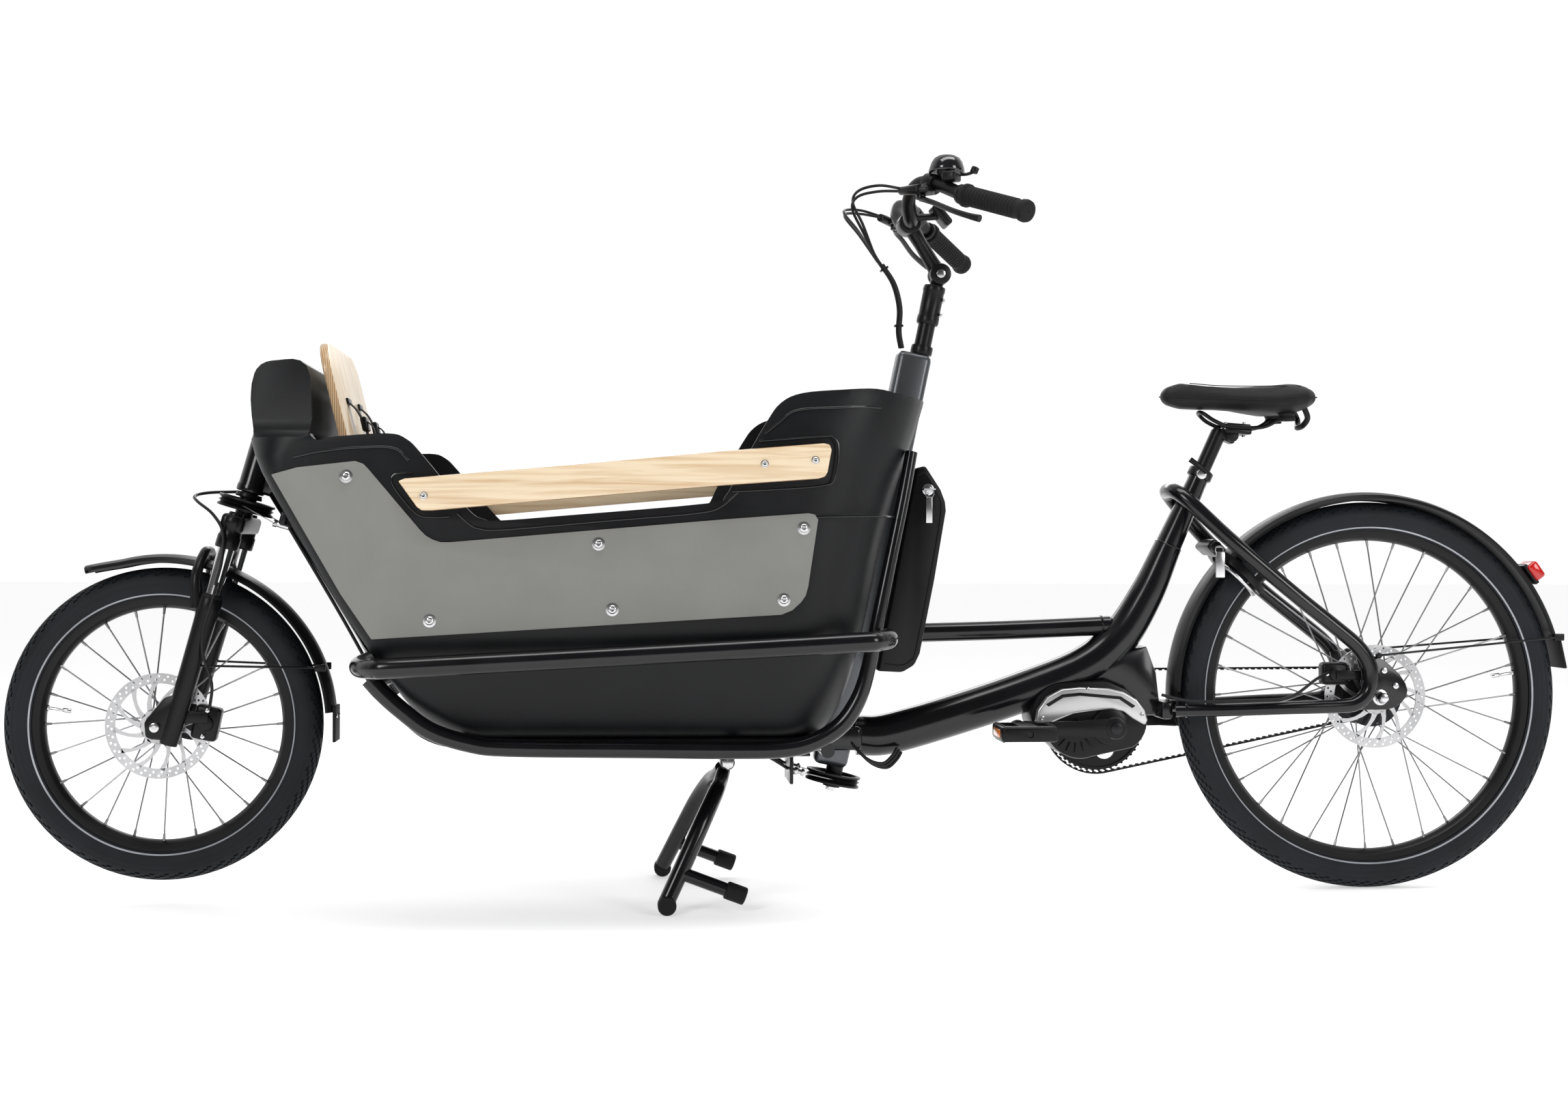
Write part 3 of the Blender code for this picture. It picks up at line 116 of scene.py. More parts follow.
def settle(obj):
    """Puts the object's place into its mesh, merges doubles and turns the faces outwards."""
    choose(obj)
    bpy.ops.object.transform_apply(location=True, rotation=True, scale=True)
    bpy.ops.object.mode_set(mode="EDIT")
    bpy.ops.mesh.select_all(action="SELECT")
    bpy.ops.mesh.remove_doubles(threshold=0.00002)
    bpy.ops.mesh.normals_make_consistent(inside=False)
    bpy.ops.object.mode_set(mode="OBJECT")
    return obj


def rounded(obj, width, segments=2, angle=32):
    """Rounds the edges sharper than the angle and applies the modifier."""
    choose(obj)
    edge = obj.modifiers.new("rounded_edge", "BEVEL")
    edge.width = width
    edge.segments = segments
    edge.limit_method = "ANGLE"
    edge.angle_limit = math.radians(angle)
    edge.use_clamp_overlap = True
    bpy.ops.object.modifier_apply(modifier="rounded_edge")
    return obj


def smoothed(obj, angle=35):
    choose(obj)
    bpy.ops.object.shade_smooth_by_angle(angle=math.radians(angle))
    return obj


made_pieces = []


def finished(obj, name, look, body="frame", replaces=(), angle=35):
    """Names a piece, gives it its look, and hangs it on its body."""
    smoothed(obj, angle)
    obj.name = name
    obj.data.name = name
    obj.data.materials.clear()
    obj.data.materials.append(look)
    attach(obj, body)
    if replaces:
        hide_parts(*replaces)
    made_pieces.append(name)
    return obj


print("helpers ready")

# %% [markdown]
# A bent tube is a curve with a round bevel, as a wire is bent by hand, turned into a mesh at the end.
# The route is smoothed through its points first, so that a few points make a calm bend.

# %% Bent tubes
def calm(points, steps):
    """Points on a smooth curve through the given ones."""
    points = [Vector(p) for p in points]
    ends = [2 * points[0] - points[1], *points, 2 * points[-1] - points[-2]]
    path = []
    for i in range(1, len(ends) - 2):
        a, b, c, d = ends[i - 1:i + 3]
        for k in range(steps):
            t = k / steps
            path.append(0.5 * (2 * b + (c - a) * t + (2 * a - 5 * b + 4 * c - d) * t * t
                + (3 * b - a - 3 * c + d) * t ** 3))
    path.append(points[-1])
    return path


def bent(points, radius, radii=None, steps=6, sides=16):
    """A closed round tube along a calm curve; radii are spread evenly over the given points."""
    path = calm(points, steps) if steps > 1 else [Vector(p) for p in points]
    clear_selection()
    bpy.ops.curve.primitive_nurbs_path_add(location=(0, 0, 0))
    wire = bpy.context.object
    wire.data.splines.clear()
    spline = wire.data.splines.new("POLY")
    spline.points.add(len(path) - 1)
    for i, place in enumerate(path):
        spline.points[i].co = (*(place + SHIFT), 1)
        if radii:
            share = i / (len(path) - 1) * (len(radii) - 1)
            low = min(int(share), len(radii) - 2)
            spline.points[i].radius = radii[low] + (radii[low + 1] - radii[low]) * (share - low)
    wire.data.dimensions = "3D"
    wire.data.bevel_depth = 1 if radii else radius
    wire.data.bevel_resolution = max(0, sides // 2 - 2)
    wire.data.use_fill_caps = True
    bpy.ops.object.convert(target="MESH")
    return settle(bpy.context.object)


# %% [markdown]
# Straight rods, turned rings, flat plates and lofts cover nearly all other shapes. Each starts from a
# primitive and is shaped in edit mode, extruded or spun.

# %% Rods and blocks
def rod(start, end, radius, end_radius=None, sides=24, edge=0):
    """A round bar or a cone between two points, with its rims rounded by edge."""
    start, end = Vector(start) + SHIFT, Vector(end) + SHIFT
    along = end - start
    clear_selection()
    bpy.ops.mesh.primitive_cone_add(vertices=sides, radius1=radius,
        radius2=radius if end_radius is None else end_radius, depth=along.length, location=(start + end) / 2,
        rotation=along.to_track_quat("Z", "Y").to_euler())
    made = settle(bpy.context.object)
    return rounded(made, edge, 2, 50) if edge else made


def block(centre, size, tilt=0, edge=0.002, turn=0):
    """A box with rounded edges; tilt turns it about Y and turn about Z, in degrees."""
    clear_selection()
    bpy.ops.mesh.primitive_cube_add(size=1, location=Vector(centre) + SHIFT, rotation=(0, math.radians(tilt),
        math.radians(turn)))
    made = bpy.context.object
    made.scale = size
    settle(made)
    return rounded(made, edge, 3) if edge else made


# %% Plates
def plate(outline, y, thickness, edge=0.001):
    """A flat plate across Y from an outline in X and Z."""
    clear_selection()
    bpy.ops.mesh.primitive_circle_add(vertices=len(outline), fill_type="NGON", location=(0, 0, 0))
    made = bpy.context.object
    for corner, (x, z) in zip(made.data.vertices, outline):
        corner.co = spot(x, y - thickness / 2, z) + SHIFT
    bpy.ops.object.mode_set(mode="EDIT")
    bpy.ops.mesh.select_all(action="SELECT")
    bpy.ops.mesh.extrude_region_move(TRANSFORM_OT_translate={"value": (0, thickness, 0)})
    bpy.ops.object.mode_set(mode="OBJECT")
    settle(made)
    return rounded(made, edge, 2) if edge else made


def arc(centre_x, centre_z, radius, start, end, steps):
    """Points of an arc in X and Z, angles in degrees from +X towards +Z."""
    return [(centre_x + radius * math.cos(math.radians(start + (end - start) * i / steps)),
        centre_z + radius * math.sin(math.radians(start + (end - start) * i / steps)))
        for i in range(steps + 1)]


# %% Turned pieces
def turned(profile, centre, axis, steps=64):
    """A closed profile of (radius, height along the axis), spun once round."""
    clear_selection()
    bpy.ops.mesh.primitive_circle_add(vertices=len(profile), location=(0, 0, 0))
    made = bpy.context.object
    for corner, (radius, height) in zip(made.data.vertices, profile):
        corner.co = spot(radius, 0, height)
    bpy.ops.object.mode_set(mode="EDIT")
    bpy.ops.mesh.select_all(action="SELECT")
    bpy.ops.mesh.spin(steps=steps, angle=math.tau, center=(0, 0, 0), axis=(0, 0, 1))
    bpy.ops.object.mode_set(mode="OBJECT")
    made.matrix_world = (Matrix.Translation(Vector(centre) + SHIFT) @ Vector(axis).to_track_quat("Z",
        "Y").to_matrix().to_4x4())
    return settle(made)


# %% Lofts and joins
def lofted(rings):
    """A closed skin through rings of equally many points, extruded ring by ring."""
    clear_selection()
    count = len(rings[0])
    bpy.ops.mesh.primitive_circle_add(vertices=count, fill_type="NGON", location=(0, 0, 0))
    made = bpy.context.object
    for corner, place in zip(made.data.vertices, rings[0]):
        corner.co = Vector(place) + SHIFT
    bpy.ops.object.mode_set(mode="EDIT")
    bpy.ops.mesh.select_all(action="SELECT")
    for ring in rings[1:]:
        bpy.ops.mesh.extrude_region_move(TRANSFORM_OT_translate={"value": (0, 0, 0)})
        shape = bmesh.from_edit_mesh(made.data)
        moved = sorted((v for v in shape.verts if v.select), key=lambda v: v.index)
        for corner, place in zip(moved, ring):
            corner.co = Vector(place) + SHIFT
        bmesh.update_edit_mesh(made.data)
    bpy.ops.object.mode_set(mode="OBJECT")
    return settle(made)


def together(*shapes):
    """Several shapes as one object."""
    clear_selection()
    for shape in shapes:
        shape.select_set(True)
    bpy.context.view_layer.objects.active = shapes[0]
    if len(shapes) > 1:
        bpy.ops.object.join()
    return bpy.context.object


def trimmed(obj, *tools, operation="DIFFERENCE"):
    """Cuts or joins with other shapes, which are removed."""
    for tool in tools:
        choose(obj)
        step = obj.modifiers.new("trim", "BOOLEAN")
        step.operation = operation
        step.solver = "EXACT"
        step.object = tool
        bpy.ops.object.modifier_apply(modifier="trim")
        bpy.data.objects.remove(tool, do_unlink=True)
    return obj


def copied(obj, matrix):
    """A copy with its own mesh, moved by a matrix given in the drawing's coordinates."""
    choose(obj)
    bpy.ops.object.duplicate()
    twin = bpy.context.object
    place = Matrix.Translation(SHIFT)
    twin.data.transform(place @ matrix @ place.inverted())
    return twin


def about(centre, axis, degrees):
    """A turn about an axis through a drawing point."""
    return (Matrix.Translation(centre) @ Matrix.Rotation(math.radians(degrees), 4,
        Vector(axis)) @ Matrix.Translation(-Vector(centre)))


print("shaping tools ready")

# %% [markdown]
# ## Finishes
# One recipe serves most coats: a large soft mottle moves the colour and the gloss a little, and a fine
# grain raises the surface. The numbers that differ are the grain's size and depth. The noise reads the
# object's own coordinates, so it stays on the piece when the bicycle is steered or folded.

# %% Shader nodes
def feed(tree, node, values):
    """Sets a node's inputs; a value that is another node's socket is linked."""
    for word, value in values.items():
        if isinstance(value, bpy.types.NodeSocket):
            tree.links.new(value, node.inputs[word])
        else:
            node.inputs[word].default_value = value


def grow(tree, kind, values, **settings):
    node = tree.nodes.new("ShaderNode" + kind)
    for word, setting in settings.items():
        setattr(node, word, setting)
    feed(tree, node, values)
    return node


def ramped(tree, share, low, high):
    """A colour between two stops, each given as its place and its colour."""
    ramp = grow(tree, "ValToRGB", {"Fac": share})
    for stop, (place, colour) in zip(ramp.color_ramp.elements, (low, high)):
        stop.position = place
        stop.color = (*colour, 1)
    return ramp.outputs["Color"]


def own_place(tree):
    return grow(tree, "TexCoord", {}).outputs["Object"]


def raise_surface(tree, height, strength, depth):
    raised = grow(tree, "Bump", {"Strength": strength, "Distance": depth, "Height": height})
    feed(tree, tree.nodes["Principled BSDF"], {"Normal": raised.outputs["Normal"]})


# %% Coats
def coat(name, colour, gloss, grain, depth, metal=0, mottle=0.18, clear=0, stretch=(1, 1, 1)):
    """A finish: colour, roughness, grain cells per metre, grain depth in metres."""
    made = bpy.data.materials.new(name)
    made.use_nodes = True
    tree = made.node_tree
    place = grow(tree, "Mapping", {"Vector": own_place(tree), "Scale": stretch}).outputs["Vector"]
    cloud = grow(tree, "TexNoise", {"Vector": place, "Scale": 14, "Detail": 6}).outputs["Fac"]
    darker = tuple(c * (1 - mottle) for c in colour)
    lighter = tuple(min(1, c * (1 + mottle)) for c in colour)
    sheen = grow(tree, "MapRange", {"Value": cloud, "To Min": max(0.03, gloss - 0.07),
        "To Max": min(1, gloss + 0.07)})
    feed(tree, tree.nodes["Principled BSDF"], {"Metallic": metal, "Coat Weight": clear,
        "Coat Roughness": 0.12, "Specular IOR Level": 0.5 if metal else 0.24,
        "Roughness": sheen.outputs["Result"], "Base Color": ramped(tree, cloud, (0.3, darker),
        (0.72, lighter))})
    fine = grow(tree, "TexNoise", {"Vector": place, "Scale": grain, "Detail": 3})
    raise_surface(tree, fine.outputs["Fac"], 0.6, depth)
    return made


# %% Paint, plastic and metal
FRAME_PAINT = coat("frame_paint", (0.004, 0.004, 0.005), 0.22, 900, 0.00006, mottle=0.25, clear=0.45)
TUB_PLASTIC = coat("tub_plastic", (0.005, 0.0054, 0.0064), 0.4, 1400, 0.00022, mottle=0.22)
LIP_PLASTIC = coat("lip_plastic", (0.005, 0.0054, 0.0064), 0.2, 900, 0.00004, clear=0.6)
PANEL_SHEET = coat("panel_sheet", (0.215, 0.215, 0.203), 0.5, 1800, 0.00006, mottle=0.05)
SATIN_BLACK = coat("satin_black", (0.005, 0.005, 0.0058), 0.32, 1200, 0.00008, mottle=0.25)
FENDER_BLACK = coat("fender_black", (0.005, 0.005, 0.0058), 0.38, 1500, 0.00005)
GLOSS_BLACK = coat("gloss_black", (0.008, 0.008, 0.009), 0.07, 500, 0.00001, clear=1)
ANODISED = coat("anodised_black", (0.02, 0.02, 0.022), 0.3, 1600, 0.00004, metal=0.7)
COLUMN_GREY = coat("column_grey", (0.1, 0.104, 0.112), 0.32, 700, 0.00005, metal=0.75, stretch=(1, 1, 0.06))
BRIGHT_STEEL = coat("bright_steel", (0.62, 0.62, 0.63), 0.2, 1500, 0.00004, metal=1, mottle=0.08)
SPOKE_STEEL = coat("spoke_steel", (0.27, 0.27, 0.28), 0.34, 1500, 0.00004, metal=0.9, mottle=0.1)
BRUSHED = coat("brushed_steel", (0.55, 0.55, 0.56), 0.3, 420, 0.00005, metal=1, stretch=(1, 8, 1))
SATIN_SILVER = coat("satin_silver", (0.6, 0.6, 0.6), 0.33, 1800, 0.00006, metal=0.85, mottle=0.06)
STANCHION = coat("stanchion", (0.7, 0.7, 0.71), 0.08, 900, 0.00001, metal=1, mottle=0.03)
RUBBER = coat("soft_rubber", (0.008, 0.008, 0.0088), 0.66, 1300, 0.00018)
TYRE_RUBBER = coat("tyre_rubber", (0.009, 0.0105, 0.0135), 0.62, 1500, 0.00022, mottle=0.3)
CABLE_SKIN = coat("cable_skin", (0.012, 0.012, 0.013), 0.4, 1600, 0.00004)
RED_LENS = coat("red_lens", (0.55, 0.012, 0.01), 0.1, 700, 0.00003, clear=1)
AMBER = coat("amber_reflector", (0.85, 0.22, 0.02), 0.14, 900, 0.0002, clear=0.8)
REFLECTIVE = coat("reflective_band", (0.36, 0.37, 0.4), 0.38, 2600, 0.00006, metal=0.2)
print("coats:", len([m for m in bpy.data.materials if m.name.islower()]))

# %% [markdown]
# Birch plywood is pale with long brown hairs along the board and fine dark and light layers on its
# edge. The face grain is noise stretched along X. The edge layers are a wave across the board's
# thickness, shown only where the surface faces sideways out of the board, by the normal.

# %% Birch plywood
def plywood(name, along, layer_axis, face_axis):
    made = coat(name, (0.72, 0.56, 0.38), 0.36, 900, 0.00005, mottle=0.05, clear=0.35)
    tree = made.node_tree
    coordinates = grow(tree, "TexCoord", {})
    place = coordinates.outputs["Object"]
    lengthwise = grow(tree, "Mapping", {"Vector": place, "Scale": along}).outputs["Vector"]
    hairs = grow(tree, "TexNoise", {"Vector": lengthwise, "Scale": 1, "Detail": 9, "Distortion": 0.6})
    face = ramped(tree, hairs.outputs["Fac"], (0.3, (0.62, 0.43, 0.25)), (0.56, (0.8, 0.66, 0.47)))
    layers = grow(tree, "TexWave", {"Vector": place, "Scale": 110, "Distortion": 0.5, "Detail": 1},
        bands_direction=layer_axis)
    edge = ramped(tree, layers.outputs["Fac"], (0.25, (0.3, 0.17, 0.08)), (0.6, (0.7, 0.5, 0.3)))
    facing = grow(tree, "VectorMath", {0: coordinates.outputs["Normal"], 1: face_axis},
        operation="DOT_PRODUCT")
    size = grow(tree, "Math", {0: facing.outputs["Value"]}, operation="ABSOLUTE")
    flat = grow(tree, "Math", {0: size.outputs["Value"], 1: 0.8}, operation="GREATER_THAN")
    mix = grow(tree, "Mix", {"Factor": flat.outputs["Value"], "A": edge, "B": face}, data_type="RGBA")
    feed(tree, tree.nodes["Principled BSDF"], {"Base Color": mix.outputs["Result"]})
    return made


RAIL_BIRCH = plywood("rail_birch", (5, 60, 120), "Y", (0, 1, 0))
BOARD_BIRCH = plywood("board_birch", (60, 90, 5), "X", (0.973, 0, 0.232))
BENCH_BIRCH = plywood("bench_birch", (60, 5, 90), "Z", (0, 0, 1))
print("plywood ready")

# %% [markdown]
# The saddle's cover is a fine pebbled leather look, which Voronoi cells give better than noise: each
# cell is one pebble with a soft groove round it. The webbing of the straps is a fine cross weave.

# %% Leather and webbing
def pebbled(name, colour, gloss, cells, depth):
    made = coat(name, colour, gloss, 1500, 0.00005)
    tree = made.node_tree
    cell = grow(tree, "TexVoronoi", {"Vector": own_place(tree), "Scale": cells}, feature="DISTANCE_TO_EDGE")
    cover_groove_shade = grow(tree, "MapRange", {"Value": cell.outputs["Distance"], "From Max": 0.18})
    raise_surface(tree, cover_groove_shade.outputs["Result"], 0.5, depth)
    return made


def woven(name, colour, threads):
    made = coat(name, colour, 0.8, 2000, 0.0001)
    tree = made.node_tree
    place = own_place(tree)
    warp, weft = [grow(tree, "TexWave", {"Vector": place, "Scale": threads},
        bands_direction=way).outputs["Fac"] for way in ("Y", "Z")]
    crossed = grow(tree, "Math", {0: warp, 1: weft}, operation="MULTIPLY")
    raise_surface(tree, crossed.outputs["Value"], 0.7, 0.0004)
    return made


SADDLE_LEATHER = pebbled("saddle_leather", (0.007, 0.007, 0.0078), 0.5, 520, 0.0003)
GRIP_RUBBER = pebbled("grip_rubber", (0.008, 0.008, 0.0088), 0.7, 260, 0.0005)
WEBBING = woven("strap_webbing", (0.014, 0.014, 0.015), 260)
print("leather and webbing ready")

# %% [markdown]
# ## Room, light and camera
# The room is white behind the bicycle and dim in front of it, over a pale floor. Black paint then stays
# black, and the soft lamps above and beside it show as long calm highlights. The camera stands about
# three metres to the left, a little over half a metre above the floor.

# %% Floor and backdrop
clear_selection()
bpy.ops.mesh.primitive_plane_add(size=60, location=(0, 0, 0))
floor = bpy.context.object
floor.name = "studio_floor"
paper = bpy.data.materials.new("studio_paper")
paper.use_nodes = True
feed(paper.node_tree, paper.node_tree.nodes["Principled BSDF"], {"Base Color": (0.93, 0.93, 0.93, 1),
    "Roughness": 0.9, "Emission Color": (1, 1, 1, 1), "Emission Strength": 0.42})
floor.data.materials.append(paper)

room = bpy.data.worlds.new("studio_room")
room.use_nodes = True
glow = room.node_tree.nodes["Background"]
heading = grow(room.node_tree, "TexCoord", {}).outputs["Generated"]
parts = grow(room.node_tree, "SeparateXYZ", {"Vector": heading})
fade = grow(room.node_tree, "MapRange", {"Value": parts.outputs["Y"], "From Min": -0.25, "From Max": 0.35,
    "To Min": 0.1, "To Max": 1.05})
feed(room.node_tree, glow, {"Strength": 1, "Color": fade.outputs["Result"]})
bpy.context.scene.world = room
bpy.context.scene.view_settings.view_transform = "Standard"
print("room strength", glow.inputs["Strength"].default_value)


# %% Lamps
def soft_lamp(name, place, target, size, power):
    clear_selection()
    bpy.ops.object.light_add(type="AREA", location=place)
    lamp = bpy.context.object
    lamp.name = name
    lamp.data.shape = "RECTANGLE"
    lamp.data.size, lamp.data.size_y = size
    lamp.data.energy = power
    lamp.rotation_euler = (Vector(target) - Vector(place)).to_track_quat("-Z", "Y").to_euler()
    return lamp


soft_lamp("lamp_above", (0.2, -0.8, 3.6), (0, 0, 0.4), (3.4, 1), 60)
soft_lamp("lamp_left", (-2.6, -3.4, 2.4), (-0.2, 0, 0.5), (1.2, 1.6), 55)
soft_lamp("lamp_right", (2.8, -3, 1.8), (0.3, 0, 0.5), (1.2, 1.8), 45)
soft_lamp("lamp_far", (0, 3.6, 2.6), (0, 0, 0.5), (3, 1.2), 40)

# %% Camera
YAW, PITCH, ROLL = 0.0795, -0.0001, 0.0031
looking = spot(math.sin(YAW) * math.cos(PITCH), math.cos(YAW) * math.cos(PITCH), math.sin(PITCH))
right = spot(math.cos(YAW), -math.sin(YAW), 0)
above = right.cross(looking)
level = right * math.cos(ROLL) + above * math.sin(ROLL)
upright = above * math.cos(ROLL) - right * math.sin(ROLL)
clear_selection()
bpy.ops.object.camera_add(location=(-0.3072, -3.3685, 0.5823))
camera = bpy.context.object
camera.rotation_euler = Matrix((level, upright, -looking)).transposed().to_euler()
camera.data.lens = 45.92
camera.data.sensor_width = 36
bpy.context.scene.camera = camera
print("camera height", round(camera.location.z, 3), "m")

# %% [markdown]
# ## The tub
# The real tub is a moulded shell: a flat floor, walls that lean out, a high hump in front, a low side
# and a high rear, with a rolled lip all along the top. A loft through level outlines gives the outside,
# a second loft taken away gives the wall, and one side profile cuts the lip line.

# %% Tub outlines
TUB_LEVELS = ((0.2845, -0.56, -0.02, 0.23, 0.06, 0.06), (0.295, -0.595, 0.005, 0.245, 0.06, 0.07),
    (0.33, -0.64, 0.03, 0.264, 0.05, 0.09), (0.385, -0.675, 0.048, 0.298, 0.035, 0.11),
    (0.44, -0.707, 0.062, 0.328, 0.025, 0.13), (0.5, -0.745, 0.076, 0.334, 0.025, 0.14),
    (0.6, -0.803, 0.098, 0.335, 0.025, 0.15), (0.695, -0.858, 0.125, 0.335, 0.035, 0.16),
    (0.76, -0.885, 0.15, 0.332, 0.09, 0.17), (0.835, -0.89, 0.172, 0.32, 0.11, 0.17),
    (0.9, -0.87, 0.172, 0.3, 0.11, 0.17),)
TUB_WALL = 0.012
COLUMN_OFFSET = -0.011
HUMP_INNER_X = -0.812


def level_ring(level, inward, height, corner_steps=8):
    """One level outline of the tub: rounded corners joined by straight walls."""
    _, front, rear, half, front_r, rear_r = level
    front, rear, half = front + inward, rear - inward, half - inward
    points = []
    for cx, cy, radius, start in ((rear, half, rear_r, 0), (front, half, front_r, 90),
            (front, -half, front_r, 180), (rear, -half, rear_r, 270)):
        radius = max(radius - inward, 0.02)
        mx = cx - radius if start in (0, 270) else cx + radius
        my = cy - radius if cy > 0 else cy + radius
        for i in range(corner_steps + 1):
            angle = math.radians(start + 90 * i / corner_steps)
            points.append((mx + radius * math.cos(angle), my + radius * math.sin(angle), height))
    return points


def levels_between(levels, steps):
    """More levels, eased between the given ones, so that the wall curves instead of folding."""
    rows = [levels[0]]
    ends = [levels[0], *levels, levels[-1]]
    for i in range(1, len(ends) - 2):
        a, b, c, d = ends[i - 1:i + 3]
        for k in range(1, steps + 1):
            t = k / steps
            rows.append(tuple(0.5 * (2 * q + (r - p) * t + (2 * p - 5 * q + 4 * r - s) * t * t
                + (3 * q - p - 3 * r + s) * t ** 3) if k < steps else r for p, q, r, s in zip(a, b, c, d)))
    return rows


print("outlines:", len(levels_between(TUB_LEVELS, 3)))

# %% Tub shell
lip_line = [(-1, 0.7), (-0.905, 0.74), (-0.899, 0.8), (-0.882, 0.858), (-0.85, 0.872), (-0.806, 0.864),
    (-0.79, 0.78), (-0.776, 0.744), (-0.743, 0.748), (-0.668, 0.753), (-0.64, 0.745), (-0.615, 0.72),
    (-0.55, 0.642), (-0.525, 0.625), (-0.499, 0.623), (-0.4, 0.631), (-0.19, 0.65), (-0.16, 0.662),
    (-0.14, 0.7), (-0.098, 0.774), (-0.075, 0.805), (-0.042, 0.82), (0.02, 0.826), (0.075, 0.829),
    (0.122, 0.822), (0.2, 0.815), (0.3, 0.815)]


def above_the_lip():
    """Everything over the lip line, as a thick plate to cut with."""
    rounder = [lip_line[0], lip_line[1]]
    for place in calm([(x, 0, z) for x, z in lip_line[1:-1]], 4)[1:]:
        rounder.append((place.x, place.z))
    return plate([*rounder, (0.3, 0.815), (0.3, 1.1), (-1, 1.1)], 0, 1, edge=0)


inner_levels = []
for level_row in TUB_LEVELS:
    height, front, rear, half, front_r, rear_r = level_row
    spine_x = COLUMN_POINT.x + (height - COLUMN_POINT.z) * COLUMN_UP.x / COLUMN_UP.z + COLUMN_OFFSET - 0.044
    front = HUMP_INNER_X if height > 0.74 else front + 0.004
    inner_levels.append((height, front, min(rear, spine_x + TUB_WALL), half, front_r, rear_r))

tub = lofted([level_ring(row, 0, row[0]) for row in levels_between(TUB_LEVELS, 3)])
hollow_rows = levels_between([row for i, row in enumerate(inner_levels) if i != 1], 3)
hollow_rings = [level_ring(row, TUB_WALL, row[0] + (0.012 if i == 0 else 0))
    for i, row in enumerate(hollow_rows)]
hollow_rings.append([(x, y, 1) for x, y, z in hollow_rings[-1]])
spine_notch = block(on_column(-0.3, across=COLUMN_OFFSET + 0.04), (0.14, 0.05, 1), tilt=COLUMN_TILT, edge=0)
nose_notch = block(on_fork(0.1, across=-0.036), (0.12, 0.05, 0.36), tilt=FORK_TILT, edge=0)
shoulders = [block((-0.88, side * 0.315, 0.849), (0.23, 0.2, 0.204), edge=0.035) for side in SIDES]
trimmed(tub, lofted(hollow_rings), above_the_lip(), spine_notch, nose_notch, *shoulders)
settle(tub)
rounded(tub, 0.0045, 3, 38)
bars = [rod((x, -0.329, z), (x, 0.329, z), 0.009, sides=20) for x, z in ((-0.659, 0.47), (-0.48, 0.453))]
finished(tub, "tub_shell", TUB_PLASTIC, "frame", ["tub"], angle=40)
for bar, word in zip(bars, ("front", "rear")):
    finished(bar, "bench_bar_" + word, ANODISED)
tray = block((-0.29, 0, 0.2755), (0.556, 0.476, 0.018), edge=0.007)
finished(tray, "tub_tray", TUB_PLASTIC)
print("tub faces:", len(tub.data.polygons))

# %% [markdown]
# ## Panels, rails and boards
# Two thin grey sheets are screwed to the tub's sides, and a birch rail bridges the low side. The
# button-head screws are turned with their socket already in the profile, one at each hole.

# %% Button-head screw
def button_screw(place, side, head=0.0068, washer=0.01):
    """A domed screw on a washer, facing out of the given side."""
    place = Vector(place)
    out = (0, side, 0)
    ring = turned([(0.002, 0), (washer, 0), (washer, 0.0009), (0.6 * washer, 0.0014), (0.002, 0.0014)], place,
        out, 28)
    dome = turned([(0, 0.0012), (head, 0.0012), (head, 0.0024), (0.8 * head, 0.004), (0.5 * head, 0.0048),
        (0.44 * head, 0.0048), (0.4 * head, 0.0022), (0, 0.002)], place, out, 28)
    return together(ring, dome)


# %% Side panels
TUB_HALF = 0.335
panel_outline = [(-0.838, 0.69), (-0.8, 0.701), (-0.715, 0.711), (-0.703, 0.707), (-0.696, 0.7),
    (-0.619, 0.609), (-0.61, 0.6), (-0.6, 0.594), (-0.588, 0.59), (-0.574, 0.59), (-0.163, 0.626),
    (-0.034, 0.636), (-0.024, 0.634), (-0.019, 0.626), (-0.034, 0.524), (-0.038, 0.51), (-0.045, 0.5),
    (-0.058, 0.488), (-0.075, 0.481), (-0.162, 0.476), (-0.69, 0.444), (-0.736, 0.512), (-0.79, 0.606)]
panel_screws = [(-0.728, 0.688), (-0.352, 0.588), (-0.041, 0.613), (-0.604, 0.472), (-0.331, 0.489),
    (-0.071, 0.504)]
rail_outline = [(-0.65, 0.681), (-0.622, 0.642), (-0.615, 0.637), (-0.6, 0.637), (-0.399, 0.656),
    (-0.164, 0.677), (-0.02, 0.688), (-0.01, 0.691), (-0.006, 0.698), (0, 0.732), (-0.003, 0.74),
    (-0.012, 0.742), (-0.164, 0.729), (-0.4, 0.706), (-0.64, 0.685)]
rail_screws = [(-0.612, 0.659), (-0.102, 0.71), (-0.025, 0.716)]
for word, side in (("left", -1), ("right", 1)):
    finished(plate(panel_outline, side * (TUB_HALF + 0.0019), 0.0034, edge=0.001), "grey_panel_" + word,
        PANEL_SHEET, "frame", ["side_panel_" + word])
    finished(together(*[button_screw((x, side * (TUB_HALF + 0.0034), z), side) for x, z in panel_screws]),
        "panel_screws_" + word, BRIGHT_STEEL)
    finished(plate(rail_outline, side * (TUB_HALF + 0.009), 0.017, edge=0.0022), "birch_rail_" + word,
        RAIL_BIRCH, "frame", ["wood_rail_" + word])
    finished(together(*[button_screw((x, side * (TUB_HALF + 0.0173), z), side, 0.0052,
        0.0062) for x, z in rail_screws]), "rail_screws_" + word, BRIGHT_STEEL)
print("screws:", 2 * (len(panel_screws) + len(rail_screws)))

# %% [markdown]
# The tub's mould leaves a dark rubber edge round the rail's sockets and a shallow step under the high
# rear. Narrow raised beads follow those lines and the lip, so that light catches them as it does on the
# moulding.

